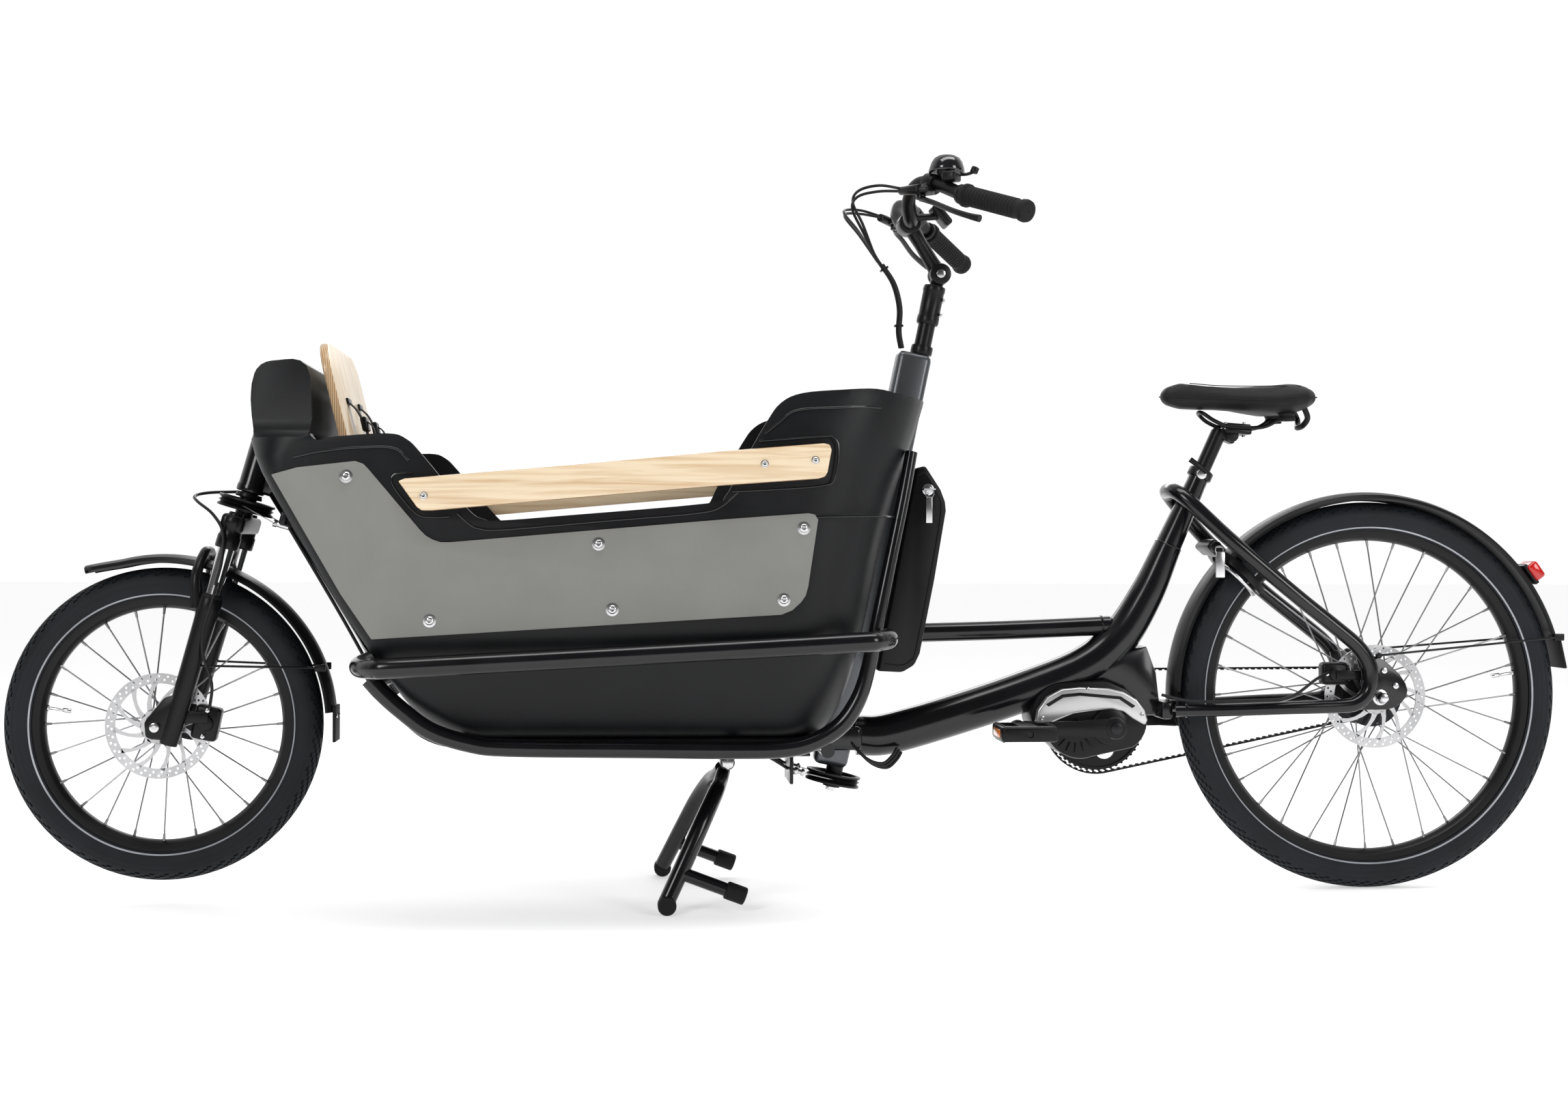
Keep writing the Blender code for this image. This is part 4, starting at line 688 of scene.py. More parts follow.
# %% Moulded beads
for word, side in (("left", -1), ("right", 1)):
    y = TUB_HALF + 0.0006
    rear_socket = [(-0.15, y, 0.668), (-0.08, y, 0.672), (-0.012, y, 0.678), (0.006, y, 0.69),
        (0.012, y, 0.735), (0.004, y, 0.752), (-0.012, y, 0.753), (-0.11, y, 0.745)]
    front_socket = [(-0.575, y, 0.628), (-0.6, y, 0.627), (-0.622, y, 0.631), (-0.645, y, 0.655),
        (-0.661, y, 0.68), (-0.655, y, 0.692), (-0.63, y, 0.694)]
    finished(together(bent(both(rear_socket, side), 0.0017, sides=10), bent(both(front_socket, side), 0.0017,
        sides=10)), "rail_gasket_" + word, LIP_PLASTIC)
    step = [(-0.02, y - 0.0006, 0.63), (0.03, y - 0.0022, 0.6315), (0.062, 0.329, 0.632),
        (0.088, 0.309, 0.632), (0.107, 0.265, 0.632)]
    finished(bent(both(step, side), 0.0016, sides=8), "parting_bead_" + word, LIP_PLASTIC)
    front_lip = [(-0.806, 0.3345, 0.716), (-0.767, 0.3345, 0.725), (-0.713, 0.3345, 0.731),
        (-0.659, 0.3343, 0.731), (-0.636, 0.3347, 0.712)]
    middle_lip = [(-0.563, 0.335, 0.633), (-0.545, 0.335, 0.617), (-0.53, 0.335, 0.6105),
        (-0.496, 0.335, 0.609), (-0.346, 0.335, 0.6225), (-0.206, 0.335, 0.635), (-0.168, 0.335, 0.645),
        (-0.1415, 0.335, 0.667)]
    rear_lip = [(-0.101, 0.333, 0.756), (-0.081, 0.331, 0.7725), (-0.051, 0.328, 0.793),
        (0.015, 0.326, 0.798), (0.05, 0.316, 0.8), (0.081, 0.301, 0.8)]
    finished(together(*[bent(both(line, side), 0.0022, sides=12) for line in (front_lip, middle_lip,
        rear_lip)]), "lip_bead_" + word, LIP_PLASTIC)
print("beads on both sides")

# %% [markdown]
# ## Backrest, bench and harness
# The backrest is a birch board with round corners that leans against the front hump. Two webbing straps
# come over it and meet in a buckle, as a child's harness does. Straps stay flat bands, built as lofts.

# %% Boards
BOARD_UP = leaning(BOARD_TILT)
BOARD_POINT = spot(-0.7545, 0, 0.7565)
board_turn = BOARD_UP.cross(spot(0, 1, 0)) * -1


def on_board(y, along, out=0):
    return BOARD_POINT + BOARD_UP * along + spot(0, y, 0) - board_turn * out


half, low, high, corner = 0.18, -0.29, 0.155, 0.055
board_edge = [(-half, low), (half, low), *arc(half - corner, high - corner, corner, 0, 90, 10),
    *arc(-half + corner, high - corner, corner, 90, 180, 10)]
backrest = lofted([[on_board(y, z, -0.007) for y, z in board_edge],
    [on_board(y, z, 0.007) for y, z in board_edge]])
finished(rounded(backrest, 0.0025, 2), "birch_backrest", BOARD_BIRCH, "frame", ["backrest"])
finished(block((-0.5345, 0, 0.47), (0.225, 0.5, 0.014), edge=0.004), "birch_bench", BENCH_BIRCH, "bench",
    ["bench_seat"])
print("board height", round(high - low, 3), "m")


# %% Webbing
def strap(route, width, thickness, across):
    """A flat band along a calm route; across is the direction of its width."""
    path = calm(route, 5)
    across = Vector(across).normalized()
    rings = []
    for i, place in enumerate(path):
        along = (path[min(i + 1, len(path) - 1)] - path[max(i - 1, 0)]).normalized()
        out = along.cross(across).normalized()
        rings.append([place + across * sx * width / 2 + out * sy * thickness / 2 for sx, sy in ((-1, -0.6),
            (-0.9, -1), (0.9, -1), (1, -0.6), (1, 0.6), (0.9, 1), (-0.9, 1), (-1, 0.6))])
    return lofted(rings)


def facing_out():
    """The board's normal that points into the tub."""
    return (on_board(0, 0, 0.01) - on_board(0, 0, 0)).normalized()


outward = 1 if facing_out().x > 0 else -1
harness = []
for side in SIDES:
    y = side * 0.07
    harness.append(strap([on_board(y, 0.06, outward * 0.009), on_board(y, 0.04, outward * 0.02),
        on_board(y * 0.95, 0, outward * 0.026), on_board(y * 0.8, -0.06, outward * 0.018),
        on_board(y * 0.5, -0.12, outward * 0.024), on_board(y * 0.25, -0.15, outward * 0.027)], 0.025, 0.0022,
        (0, 1, 0)))
    harness.append(strap([on_board(y, 0.03, outward * 0.024), on_board(y * 1.05, 0.01, outward * 0.038),
        on_board(y * 1.05, -0.03, outward * 0.033)], 0.02, 0.0018, (0, 1, 0)))
    harness.append(strap([on_board(side * 0.015, -0.15, outward * 0.028), on_board(side * 0.07, -0.175,
        outward * 0.02), on_board(side * 0.11, -0.2, outward * 0.0095)], 0.022, 0.002, BOARD_UP))
finished(together(*harness), "harness_straps", WEBBING)
buckles = [block(on_board(side * 0.07, 0.02, outward * 0.026), (0.01, 0.036, 0.024), tilt=BOARD_TILT,
    edge=0.003) for side in SIDES]
buckles.append(block(on_board(0, -0.15, outward * 0.029), (0.014, 0.05, 0.044), tilt=BOARD_TILT, edge=0.005))
buckles += [block(on_board(side * 0.07, 0.062, outward * 0.009), (0.004, 0.04, 0.01), tilt=BOARD_TILT,
    edge=0.0015) for side in SIDES]
finished(together(*buckles), "harness_buckles", SATIN_BLACK)
print("straps:", len(harness))

# %% [markdown]
# ## The frame's tubes
# Steel tubes are bent, cut and welded. Each is drawn as one smooth route with its own radii, so the
# main tube swells where it carries most. A weld is a low bead round each joint.

# %% Weld beads
def weld(centre, axis, radius, bead=0.0022):
    """A low ring round a tube where it meets its neighbour."""
    return turned([(radius - 0.002, -bead), (radius + 0.5 * bead, -0.8 * bead), (radius + bead, 0),
        (radius + 0.5 * bead, 0.8 * bead), (radius - 0.002, bead)], centre, axis, 40)


# %% Main tube and seat tube
main_route = [(0.078, 0, 0.266), (0.133, 0, 0.268), (0.25, 0, 0.301), (0.368, 0, 0.34), (0.47, 0, 0.381),
    (0.533, 0, 0.433), (0.58, 0, 0.508), (0.6165, 0, 0.5885)]
main_radii = [0.034, 0.035, 0.035, 0.035, 0.035, 0.033, 0.029, 0.0235]
main_tube = bent(main_route, 1, radii=main_radii, steps=8, sides=36)
seat_tube = turned([(0.0141, 0), (0.0141, -0.136), (0.0225, -0.146), (0.019, -0.065), (0.0172, -0.03),
    (0.0172, 0)], SEAT_POINT, SEAT_UP, 48)
clamp_ring = rounded(turned([(0.0172, -0.0165), (0.0212, -0.0165), (0.0212, -0.0015), (0.0172, -0.0015)],
    SEAT_POINT, SEAT_UP, 48), 0.0015, 2)
motor_gusset = plate([(0.47, 0.38), (0.515, 0.4), (0.573, 0.418), (0.59, 0.372), (0.597, 0.313), (0.59, 0.3),
    (0.565, 0.3), (0.553, 0.325), (0.53, 0.346), (0.495, 0.358), (0.43, 0.356), (0.39, 0.345)], 0, 0.05,
    edge=0.004)
stay_bridge = block((0.603, 0, 0.31), (0.02, 0.1, 0.03), edge=0.005)
foot_bar = rod((0.006, -0.247, 0.264), (0.006, 0.247, 0.264), 0.011, sides=28)
column_notch = block(on_column(-0.68, across=COLUMN_OFFSET), (0.059, 0.048, 0.2), tilt=COLUMN_TILT, edge=0)
foot_boss = trimmed(block((0.035, 0, 0.264), (0.1, 0.09, 0.04), edge=0.008), column_notch)
upper_tube = bent([(0.108, 0, 0.438), (0.33, 0, 0.444), (0.515, 0, 0.452)], 0.0165, sides=28)
finished(together(main_tube, motor_gusset, stay_bridge, foot_bar, foot_boss), "main_frame_tubes", FRAME_PAINT,
    "frame", ["main_frame"])
finished(seat_tube, "seat_tube_top", FRAME_PAINT)
finished(clamp_ring, "seat_clamp_ring", ANODISED)
finished(upper_tube, "upper_frame_tube", FRAME_PAINT, "frame", ["upper_tube"])
print("main tube route", len(main_route), "points")

# %% Stays and dropouts
STAY_Y = 0.08
stay_route = [(0.632, 0.04, 0.672), (0.7, 0.068, 0.603), (0.761, 0.076, 0.55), (0.821, STAY_Y, 0.5),
    (0.88, STAY_Y, 0.454), (0.921, STAY_Y, 0.42), (0.941, STAY_Y, 0.39), (0.944, STAY_Y, 0.362),
    (0.938, STAY_Y, 0.34), (0.92, STAY_Y, 0.324), (0.892, STAY_Y, 0.319), (0.8, STAY_Y, 0.316),
    (0.7, 0.07, 0.312), (0.615, 0.056, 0.31)]
stay_loop = [*reversed(both(stay_route, -1)), spot(0.6185, 0, 0.683), *both(stay_route, 1)]
finished(bent(stay_loop, 1, radii=[0.0105, 0.011, 0.0125] + [0.0128] * 9 + [0.0125, 0.011, 0.0105], sides=24),
    "rear_stay_loop", FRAME_PAINT, "frame", ["seat_stay_loop", "chain_stay_left", "chain_stay_right"])
dropout_outline = [(0.924, 0.404), (0.94, 0.4065), (0.955, 0.403), (0.972, 0.396), (0.985, 0.385), (1, 0.371),
    (1.01, 0.356), (1.0135, 0.345), (1.012, 0.334), (1.002, 0.322), (0.988, 0.314), (0.975, 0.3115),
    (0.93, 0.3115), (0.926, 0.322), (0.934, 0.345), (0.932, 0.375)]
dropouts, bolts = [], []
for side in SIDES:
    dropouts.append(plate(dropout_outline, side * 0.064, 0.007, edge=0.0016))
    for x, z in ((0.948, 0.385), (0.972, 0.378), (0.992, 0.352)):
        bolts.append(rod((x, side * 0.066, z), (x, side * 0.0705, z), 0.0052, sides=20, edge=0.001))
        bolts.append(rod((x, side * 0.07, z), (x, side * 0.0712, z), 0.0026, sides=6))
finished(together(*dropouts), "dropout_plates", FRAME_PAINT)
finished(together(*bolts), "dropout_bolts", BRIGHT_STEEL)
axle_ends = []
for side in SIDES:
    axle_ends += [rod(REAR_AXLE + spot(0, side * 0.062, 0), REAR_AXLE + spot(0, side * 0.086, 0), 0.006),
        rod(REAR_AXLE + spot(0, side * 0.0675, 0), REAR_AXLE + spot(0, side * 0.07, 0), 0.0135, edge=0.0008),
        rod(REAR_AXLE + spot(0, side * 0.07, 0), REAR_AXLE + spot(0, side * 0.079, 0), 0.0105, sides=6,
        edge=0.0008), rod(REAR_AXLE + spot(0, side * 0.079, 0), REAR_AXLE + spot(0, side * 0.09, 0), 0.0095,
        0.007, sides=20, edge=0.001)]
axle_ends.append(rod(REAR_AXLE + spot(0, -0.062, 0), REAR_AXLE + spot(0, -0.0375, 0), 0.006))
axle_ends.append(rod(REAR_AXLE + spot(0, 0.0375, 0), REAR_AXLE + spot(0, 0.062, 0), 0.006))
finished(together(*axle_ends), "rear_axle_nuts", BRIGHT_STEEL)
welds = [weld((0.5, 0, 0.4513), (1, 0, 0.015), 0.0165), weld((0.6165, 0, 0.5885), SEAT_UP, 0.0222),
    weld((0.118, 0, 0.4383), (1, 0, 0.02), 0.0165)]
for side in SIDES:
    welds.append(weld((0.633, side * 0.058, 0.3105), (1, side * 0.15, 0), 0.0106))
    welds.append(weld((0.006, side * 0.046, 0.264), (0, 1, 0), 0.011))
finished(together(*welds), "frame_welds", FRAME_PAINT)
print("welds:", len(welds))

# %% [markdown]
# The cradle holds the tub: two hoops run under it from the head tube's foot to the column, and a guard
# rail goes round it at knee height. The rails are one bent tube each, as on the real frame.

# %% Cradle and guard rails
HOOP_Y, RAIL_Y = 0.262, 0.352
hoop_route = [(-0.702, HOOP_Y, 0.38), (-0.684, HOOP_Y, 0.36), (-0.655, HOOP_Y, 0.333), (-0.61, HOOP_Y, 0.3),
    (-0.55, HOOP_Y, 0.28), (-0.489, HOOP_Y, 0.273), (-0.3, HOOP_Y, 0.27), (-0.145, HOOP_Y, 0.268),
    (-0.07, HOOP_Y, 0.269), (-0.023, HOOP_Y, 0.278), (0.02, HOOP_Y, 0.302), (0.046, HOOP_Y, 0.335),
    (0.064, HOOP_Y, 0.381), (0.082, HOOP_Y, 0.468), (0.102, HOOP_Y - 0.008, 0.56), (0.124, HOOP_Y - 0.02,
    0.66), (0.139, HOOP_Y - 0.032, 0.735)]
hoop_radii = [0.014] * 11 + [0.0135, 0.012, 0.0105, 0.01, 0.01, 0.01]
rail_route = [(-0.72, 0.12, 0.399), (-0.719, 0.24, 0.399), (-0.708, 0.305, 0.399), (-0.68, 0.34, 0.4),
    (-0.64, RAIL_Y, 0.4025), (-0.3, RAIL_Y, 0.4205), (0.03, RAIL_Y, 0.4388), (0.068, 0.34, 0.441),
    (0.09, 0.315, 0.4425), (0.096, 0.28, 0.443)]
for word, side in (("left", -1), ("right", 1)):
    finished(bent(both(hoop_route, side), 1, radii=hoop_radii, steps=5, sides=24), "tub_hoop_" + word,
        FRAME_PAINT, "frame", ["cradle_hoop_" + word])
    finished(bent(both(rail_route, side), 0.0155, steps=8, sides=28), "side_guard_" + word, FRAME_PAINT,
        "frame", ["guard_rail_" + word])
    brackets = [block((x, side * y, z), size, tilt=tilt, edge=0.003) for x, y, z, size, tilt in ((-0.69,
        0.285, 0.39, (0.016, 0.09, 0.006), 0), (0.074, 0.275, 0.426, (0.018, 0.06, 0.006), 0),
        (-0.701, 0.2, 0.383, (0.028, 0.02, 0.02), 0))]
    finished(together(*brackets), "rail_brackets_" + word, FRAME_PAINT)
print("cradle made")

# %% Column and head tube
finished(trimmed(block(on_column(-0.379, across=COLUMN_OFFSET), (0.058, 0.047, 0.712), tilt=COLUMN_TILT,
    edge=0.0105), rod(on_column(-0.76), on_column(0.02), 0.0151, sides=32)), "aluminium_column", COLUMN_GREY,
    "frame", ["steering_column"])
head_tube = rounded(turned([(0.0151, 0.012), (0.022, 0.012), (0.0235, 0.014), (0.0235, 0.022), (0.022, 0.025),
    (0.022, 0.145), (0.0235, 0.147), (0.0235, 0.155), (0.0151, 0.155)], FORK_POINT, FORK_UP, 48), 0.0008, 2)
down_tube = bent([on_fork(0.03, across=0.042), (-0.838, 0, 0.6), (-0.772, 0, 0.494), (-0.7, 0, 0.376),
    (-0.678, 0, 0.345)], 0.018, steps=8, sides=28)
neck = block(on_fork(0.035, across=0.03), (0.026, 0.024, 0.04), tilt=FORK_TILT, edge=0.006)
stops = [block(on_fork(-0.012, side * 0.034, 0.073), (0.012, 0.047, 0.022), tilt=FORK_TILT,
    edge=0.003) for side in SIDES]
cross_foot = rod((-0.693, -0.248, 0.37), (-0.693, 0.248, 0.37), 0.0105, sides=24)
finished(together(head_tube, down_tube, neck, cross_foot), "head_and_down_tube", FRAME_PAINT, "frame",
    ["front_head_tube"])
finished(together(*stops), "cable_stops", ANODISED)
adjusters = []
for side in SIDES:
    y = side * 0.044
    adjusters.append(rod((-0.86, y, 0.614), (-0.879, y, 0.6195), 0.0052, sides=20, edge=0.0008))
    adjusters.append(rod((-0.879, y, 0.6195), (-0.885, y, 0.6212), 0.0066, sides=6, edge=0.0006))
finished(together(*adjusters), "front_adjusters", BRIGHT_STEEL)

# %% [markdown]
# ## Tyres
# A wide round tyre has a ribbed tread and a light reflecting stripe on each side. The casing is one
# profile spun round the axle, and the tread's grooves are pressed in: every third face of each row is
# chosen by its place and pushed in by not quite two millimetres.

# %% Tyre with pressed grooves
TYRE_HALF = 0.0273
GROOVE_DEPTH = 0.0018
REAR_TREAD_R, FRONT_TREAD_R = 0.3325, 0.2575


def tyre(axle, outer, steps):
    """A spun casing whose tread rows carry alternating pressed grooves."""
    ring = outer - TYRE_HALF
    angles = [-48, -36, -24, -12, 0, 10, 20, 30, 38, 46, 54, 62, 70, 76, 82, 87, 93, 98, 104, 110, 118, 126,
        134, 142, 150, 160, 170, 180, 192, 204, 216, 228]
    profile = [(ring + TYRE_HALF * math.sin(math.radians(a)), TYRE_HALF * math.cos(math.radians(a)))
        for a in angles]
    inner = [(ring + 0.84 * (r - ring), 0.84 * y) for r, y in profile[::-1]]
    made = turned(profile + inner, axle, (0, 1, 0), steps)
    choose(made)
    bpy.ops.object.mode_set(mode="EDIT")
    bpy.ops.mesh.select_mode(type="FACE")
    bpy.ops.mesh.select_all(action="DESELECT")
    shape = bmesh.from_edit_mesh(made.data)
    centre = axle + SHIFT
    for face in shape.faces:
        middle = face.calc_center_median() - centre
        radius = math.hypot(middle.x, middle.z) - ring
        slant = math.degrees(math.atan2(radius, abs(middle.y)))
        outside = math.hypot(radius, middle.y) > 0.95 * TYRE_HALF
        step = int(round(steps * (math.atan2(middle.z, middle.x) / math.tau) - 0.5))
        row = int(slant // 8)
        if outside and 30 < slant < 88 and (step + row) % 3 == 0:
            face.select = True
    bmesh.update_edit_mesh(made.data)
    bpy.ops.mesh.extrude_region_shrink_fatten(TRANSFORM_OT_shrink_fatten={"value": -GROOVE_DEPTH})
    bpy.ops.object.mode_set(mode="OBJECT")
    return made


def side_stripe(axle, outer, low, high):
    """A thin band proud of both tyre walls between two slants, in degrees."""
    ring = outer - TYRE_HALF
    bands = []
    for side in SIDES:
        outline = [(low, 1.006), (high, 1.006), (high, 0.99), (low, 0.99)]
        profile = [(ring + TYRE_HALF * k * math.sin(math.radians(a)),
            side * TYRE_HALF * k * math.cos(math.radians(a))) for a, k in outline]
        bands.append(turned(profile, axle, (0, 1, 0), 144))
    return together(*bands)


for word, axle, outer, steps in (("rear", REAR_AXLE, REAR_TREAD_R, 252), ("front", FRONT_AXLE, FRONT_TREAD_R,
        198)):
    body = word + "_wheel_body"
    finished(tyre(axle, outer, steps), word + "_tyre_tread", TYRE_RUBBER, body, [word + "_tyre"], angle=30)
    finished(side_stripe(axle, outer, -40, -34), word + "_tyre_stripe", REFLECTIVE, body)
    rib = together(side_stripe(axle, outer, -2, 0), side_stripe(axle, outer, 18, 20))
    finished(rib, word + "_tyre_ribs", TYRE_RUBBER, body)
    print(word, "tyre:", 2000 * outer, "mm over the tread")

# %% [markdown]
# ## Rims, hubs and spokes
# A black rim is laced to its hub with grey steel spokes that cross in pairs. Four spokes and their nipples
# are built, two to a side, and the set is turned round the axle as often as the wheel needs.

# %% Rims
BEAD_SHARE = 1.744


def bead_radius(outer):
    """Where the tyre's foot sits in the rim, from the tread's radius."""
    return outer - BEAD_SHARE * TYRE_HALF


def rim_of(axle, outer):
    bead = bead_radius(outer)
    profile = [(bead + 0.0035, 0.0158), (bead + 0.004, 0.0142), (bead - 0.002, 0.0132),
        (bead - 0.0065, 0.005), (bead - 0.0065, -0.005), (bead - 0.002, -0.0132), (bead + 0.004, -0.0142),
        (bead + 0.0035, -0.0158), (bead - 0.006, -0.0156), (bead - 0.012, -0.0145), (bead - 0.0175, -0.0085),
        (bead - 0.019, -0.003), (bead - 0.019, 0.003), (bead - 0.0175, 0.0085), (bead - 0.012, 0.0145),
        (bead - 0.006, 0.0156)]
    return turned(profile, axle, (0, 1, 0), 144)


# %% Spokes and nipples
def spoke_set(axle, outer, flange_r, flange_y, count):
    """All spokes of one wheel, with nipples and elbows."""
    bead = bead_radius(outer)
    spokes, nipples = [], []
    for i in range(4):
        side = 1 if i % 2 else -1
        lean = 34 if i // 2 else -34
        foot = math.radians(360 * i / count)
        root = foot + math.radians(lean)
        outboard = 0.0017 if lean > 0 else -0.0017
        inner = spot(math.cos(root), 0, math.sin(root)) * (flange_r - 0.004)
        inner.y = side * (flange_y - 0.002 + outboard)
        reach = spot(math.cos(foot), 0, math.sin(foot)) * (bead - 0.017)
        reach.y = side * (0.004 + outboard)
        along = (reach - inner).normalized()
        spokes.append(rod(axle + inner, axle + reach, 0.00135, sides=8))
        spokes.append(rod(axle + inner + spot(0, side * -0.0035, 0), axle + inner + spot(0, side * 0.002, 0),
            0.0017, sides=8))
        nipples.append(rod(axle + reach - along * 0.012, axle + reach + along * 0.001, 0.002, 0.0026,
            sides=10))
    made = []
    for group in (spokes, nipples):
        first = together(*group)
        rounds = [first] + [copied(first, about(axle, (0, 1, 0), -360 * 4 * k / count)) for k in range(1,
            count // 4)]
        made.append(together(*rounds))
    return made


# %% Hubs
def flanged_hub(axle, flange_r, flange_y, holes):
    barrel = 0.72 * flange_r
    profile = [(0.007, -flange_y - 0.006), (0.012, -flange_y - 0.0065), (0.5 * flange_r, -flange_y - 0.0055),
        (0.62 * flange_r, -flange_y - 0.0035), (flange_r - 0.008, -flange_y - 0.0016),
        (flange_r, -flange_y - 0.001), (flange_r + 0.001, -flange_y + 0.001), (flange_r, -flange_y + 0.0035),
        (barrel + 0.004, -flange_y + 0.006), (barrel, -flange_y + 0.011), (barrel, flange_y - 0.011),
        (barrel + 0.004, flange_y - 0.006), (flange_r, flange_y - 0.0035),
        (flange_r + 0.001, flange_y - 0.001), (flange_r, flange_y + 0.001),
        (flange_r - 0.008, flange_y + 0.0016), (0.62 * flange_r, flange_y + 0.0035), (0.5 * flange_r,
        flange_y + 0.0055), (0.012, flange_y + 0.0065), (0.007, flange_y + 0.006)]
    made = turned(profile, axle, (0, 1, 0), 72)
    pins = []
    for k in range(holes):
        angle = math.tau * k / holes
        out = spot(math.cos(angle), 0, math.sin(angle)) * (0.62 * flange_r)
        pins.append(rod(axle + out + spot(0, -flange_y - 0.0052, 0), axle + out + spot(0, -flange_y - 0.002,
            0), 0.0032, sides=12))
    return together(made, *pins)


# %% Rotors
ROTOR_Y = -0.0445


def rotor_of(axle, radius, arms):
    """A brake rotor: a drilled ring on swept arms round a bolted centre."""
    middle = axle + spot(0, ROTOR_Y, 0)
    ring = turned([(radius - 0.0165, -0.0009), (radius, -0.0009), (radius, 0.0009), (radius - 0.0165,
        0.0009)], middle, (0, 1, 0), 120)
    drills = []
    for k in range(arms * 3):
        for step, reach in ((0, radius - 0.0048), (0.35, radius - 0.0105)):
            angle = math.tau * (k + step) / (arms * 3)
            place = middle + spot(math.cos(angle), 0, math.sin(angle)) * reach
            drills.append(rod(place + spot(0, -0.003, 0), place + spot(0, 0.003, 0), 0.0021, sides=8))
    ring = trimmed(ring, together(*drills))
    centre = turned([(0.0115, -0.0009), (0.03, -0.0009), (0.03, 0.0009), (0.0115, 0.0009)], middle, (0, 1, 0),
        60)
    first = []
    for k in range(5):
        share = k / 4
        angle = math.radians(-26 * share)
        reach = 0.028 + (radius - 0.0145 - 0.028) * share
        first.append(spot(math.cos(angle) * reach, 0, math.sin(angle) * reach))
    wide = [0.0068, 0.005, 0.004, 0.0042, 0.006]
    edge = []
    for sign in (1, -1):
        row = []
        for k, place in enumerate(first):
            along = (first[min(k + 1, 4)] - first[max(k - 1, 0)]).normalized()
            row.append(place + spot(-along.z, 0, along.x) * sign * wide[k] / 2 * 1.4)
        edge += row if sign > 0 else row[::-1]
    arm = plate([(axle.x + p.x, axle.z + p.z) for p in edge], ROTOR_Y, 0.0018, edge=0)
    arms_made = [arm] + [copied(arm, about(axle, (0, 1, 0), 360 * k / arms)) for k in range(1, arms)]
    return together(ring, centre, *arms_made)


for word, axle, outer, flange_r, count, radius, arms in (("rear", REAR_AXLE, REAR_TREAD_R, 0.052, 32, 0.088,
        12), ("front", FRONT_AXLE, FRONT_TREAD_R, 0.027, 24, 0.086, 12)):
    body = word + "_wheel_body"
    finished(rim_of(axle, outer), word + "_rim", SATIN_BLACK, body, [word + "_wheel"])
    spokes, nipples = spoke_set(axle, outer, flange_r, 0.03, count)
    finished(spokes, word + "_spokes", SPOKE_STEEL, body)
    finished(nipples, word + "_nipples", SPOKE_STEEL, body)
    finished(flanged_hub(axle, flange_r, 0.03, 6), word + "_hub_shell", ANODISED, body)
    finished(rotor_of(axle, radius, arms), word + "_brake_disc", BRUSHED, body, [word + "_rotor"])
    lock_ring = turned([(0.0115, -0.003), (0.0215, -0.003), (0.023, -0.0012), (0.023, 0.0012),
        (0.0115, 0.0012)], axle + spot(0, ROTOR_Y, 0), (0, 1, 0), 48)
    spacer = turned([(0.008, 0.0009), (0.02, 0.0009), (0.02, 0.011), (0.008, 0.011)],
        axle + spot(0, ROTOR_Y, 0), (0, 1, 0), 40)
    finished(together(lock_ring, spacer), word + "_rotor_ring", ANODISED, body)
    angle = math.radians(8 if word == "rear" else 172)
    bead = bead_radius(outer) - 0.018
    out = spot(math.cos(angle), 0, math.sin(angle))
    valve = together(rod(axle + out * (bead - 0.034), axle + out * bead, 0.0026, sides=12, edge=0.0004),
        rod(axle + out * (bead - 0.04), axle + out * (bead - 0.026), 0.004, sides=12, edge=0.0008),
        rod(axle + out * (bead - 0.004), axle + out * (bead - 0.001), 0.0052, sides=6, edge=0.0004))
    finished(valve, word + "_valve", BRIGHT_STEEL, body)
    print(word, "wheel:", count, "spokes")

# %% [markdown]
# ## Suspension fork
# The upper half carries bright stanchions and turns with a grooved wheel for the two steering wires. The
# lower half slides on them: two tapered legs joined by an arch, with the axle and the caliper.

# %% Upper half
LEG_Y = 0.062
crown_bar = block(on_fork(-0.042), (0.039, 0.154, 0.028), tilt=FORK_TILT, edge=0.007)
sockets = [turned([(0.001, -0.084), (0.0178, -0.084), (0.019, -0.082), (0.019, -0.064), (0.0172, -0.061),
    (0.0172, -0.048), (0.0185, -0.045), (0.0185, -0.033), (0.0165, -0.03), (0.001, -0.03)],
    FORK_POINT + spot(0, side * LEG_Y, 0), FORK_UP, 40) for side in SIDES]
caps = [rod(on_fork(-0.031, side * LEG_Y), on_fork(-0.0235, side * LEG_Y), 0.0125, 0.011, sides=32,
    edge=0.0015) for side in SIDES]
steerer = rod(on_fork(-0.045), on_fork(0.159), 0.0143, sides=32)
headset = turned([(0.0143, 0.0025), (0.0215, 0.0025), (0.0222, 0.0045), (0.0205, 0.0105), (0.0143, 0.0105)],
    FORK_POINT, FORK_UP, 48)
finished(together(crown_bar, *sockets, *caps, steerer, headset), "fork_crown_body", SATIN_BLACK, "fork_upper",
    ["fork_crown"])
finished(together(*[rod(on_fork(-0.305, side * LEG_Y), on_fork(-0.07, side * LEG_Y), 0.013,
    sides=40) for side in SIDES]), "fork_stanchions", STANCHION, "fork_upper")
wheel_profile = [(0.014, -0.004), (0.036, -0.003), (0.04, -0.009), (0.0462, -0.0092), (0.0462, -0.006),
    (0.0415, -0.003), (0.0462, 0), (0.0415, 0.003), (0.0462, 0.006), (0.0462, 0.0092), (0.04, 0.009),
    (0.036, 0.003), (0.014, 0.004)]
finished(turned(wheel_profile, on_fork(-0.01), FORK_UP, 72), "front_wire_wheel", ANODISED, "fork_upper")
print("stanchions 26 mm thick")

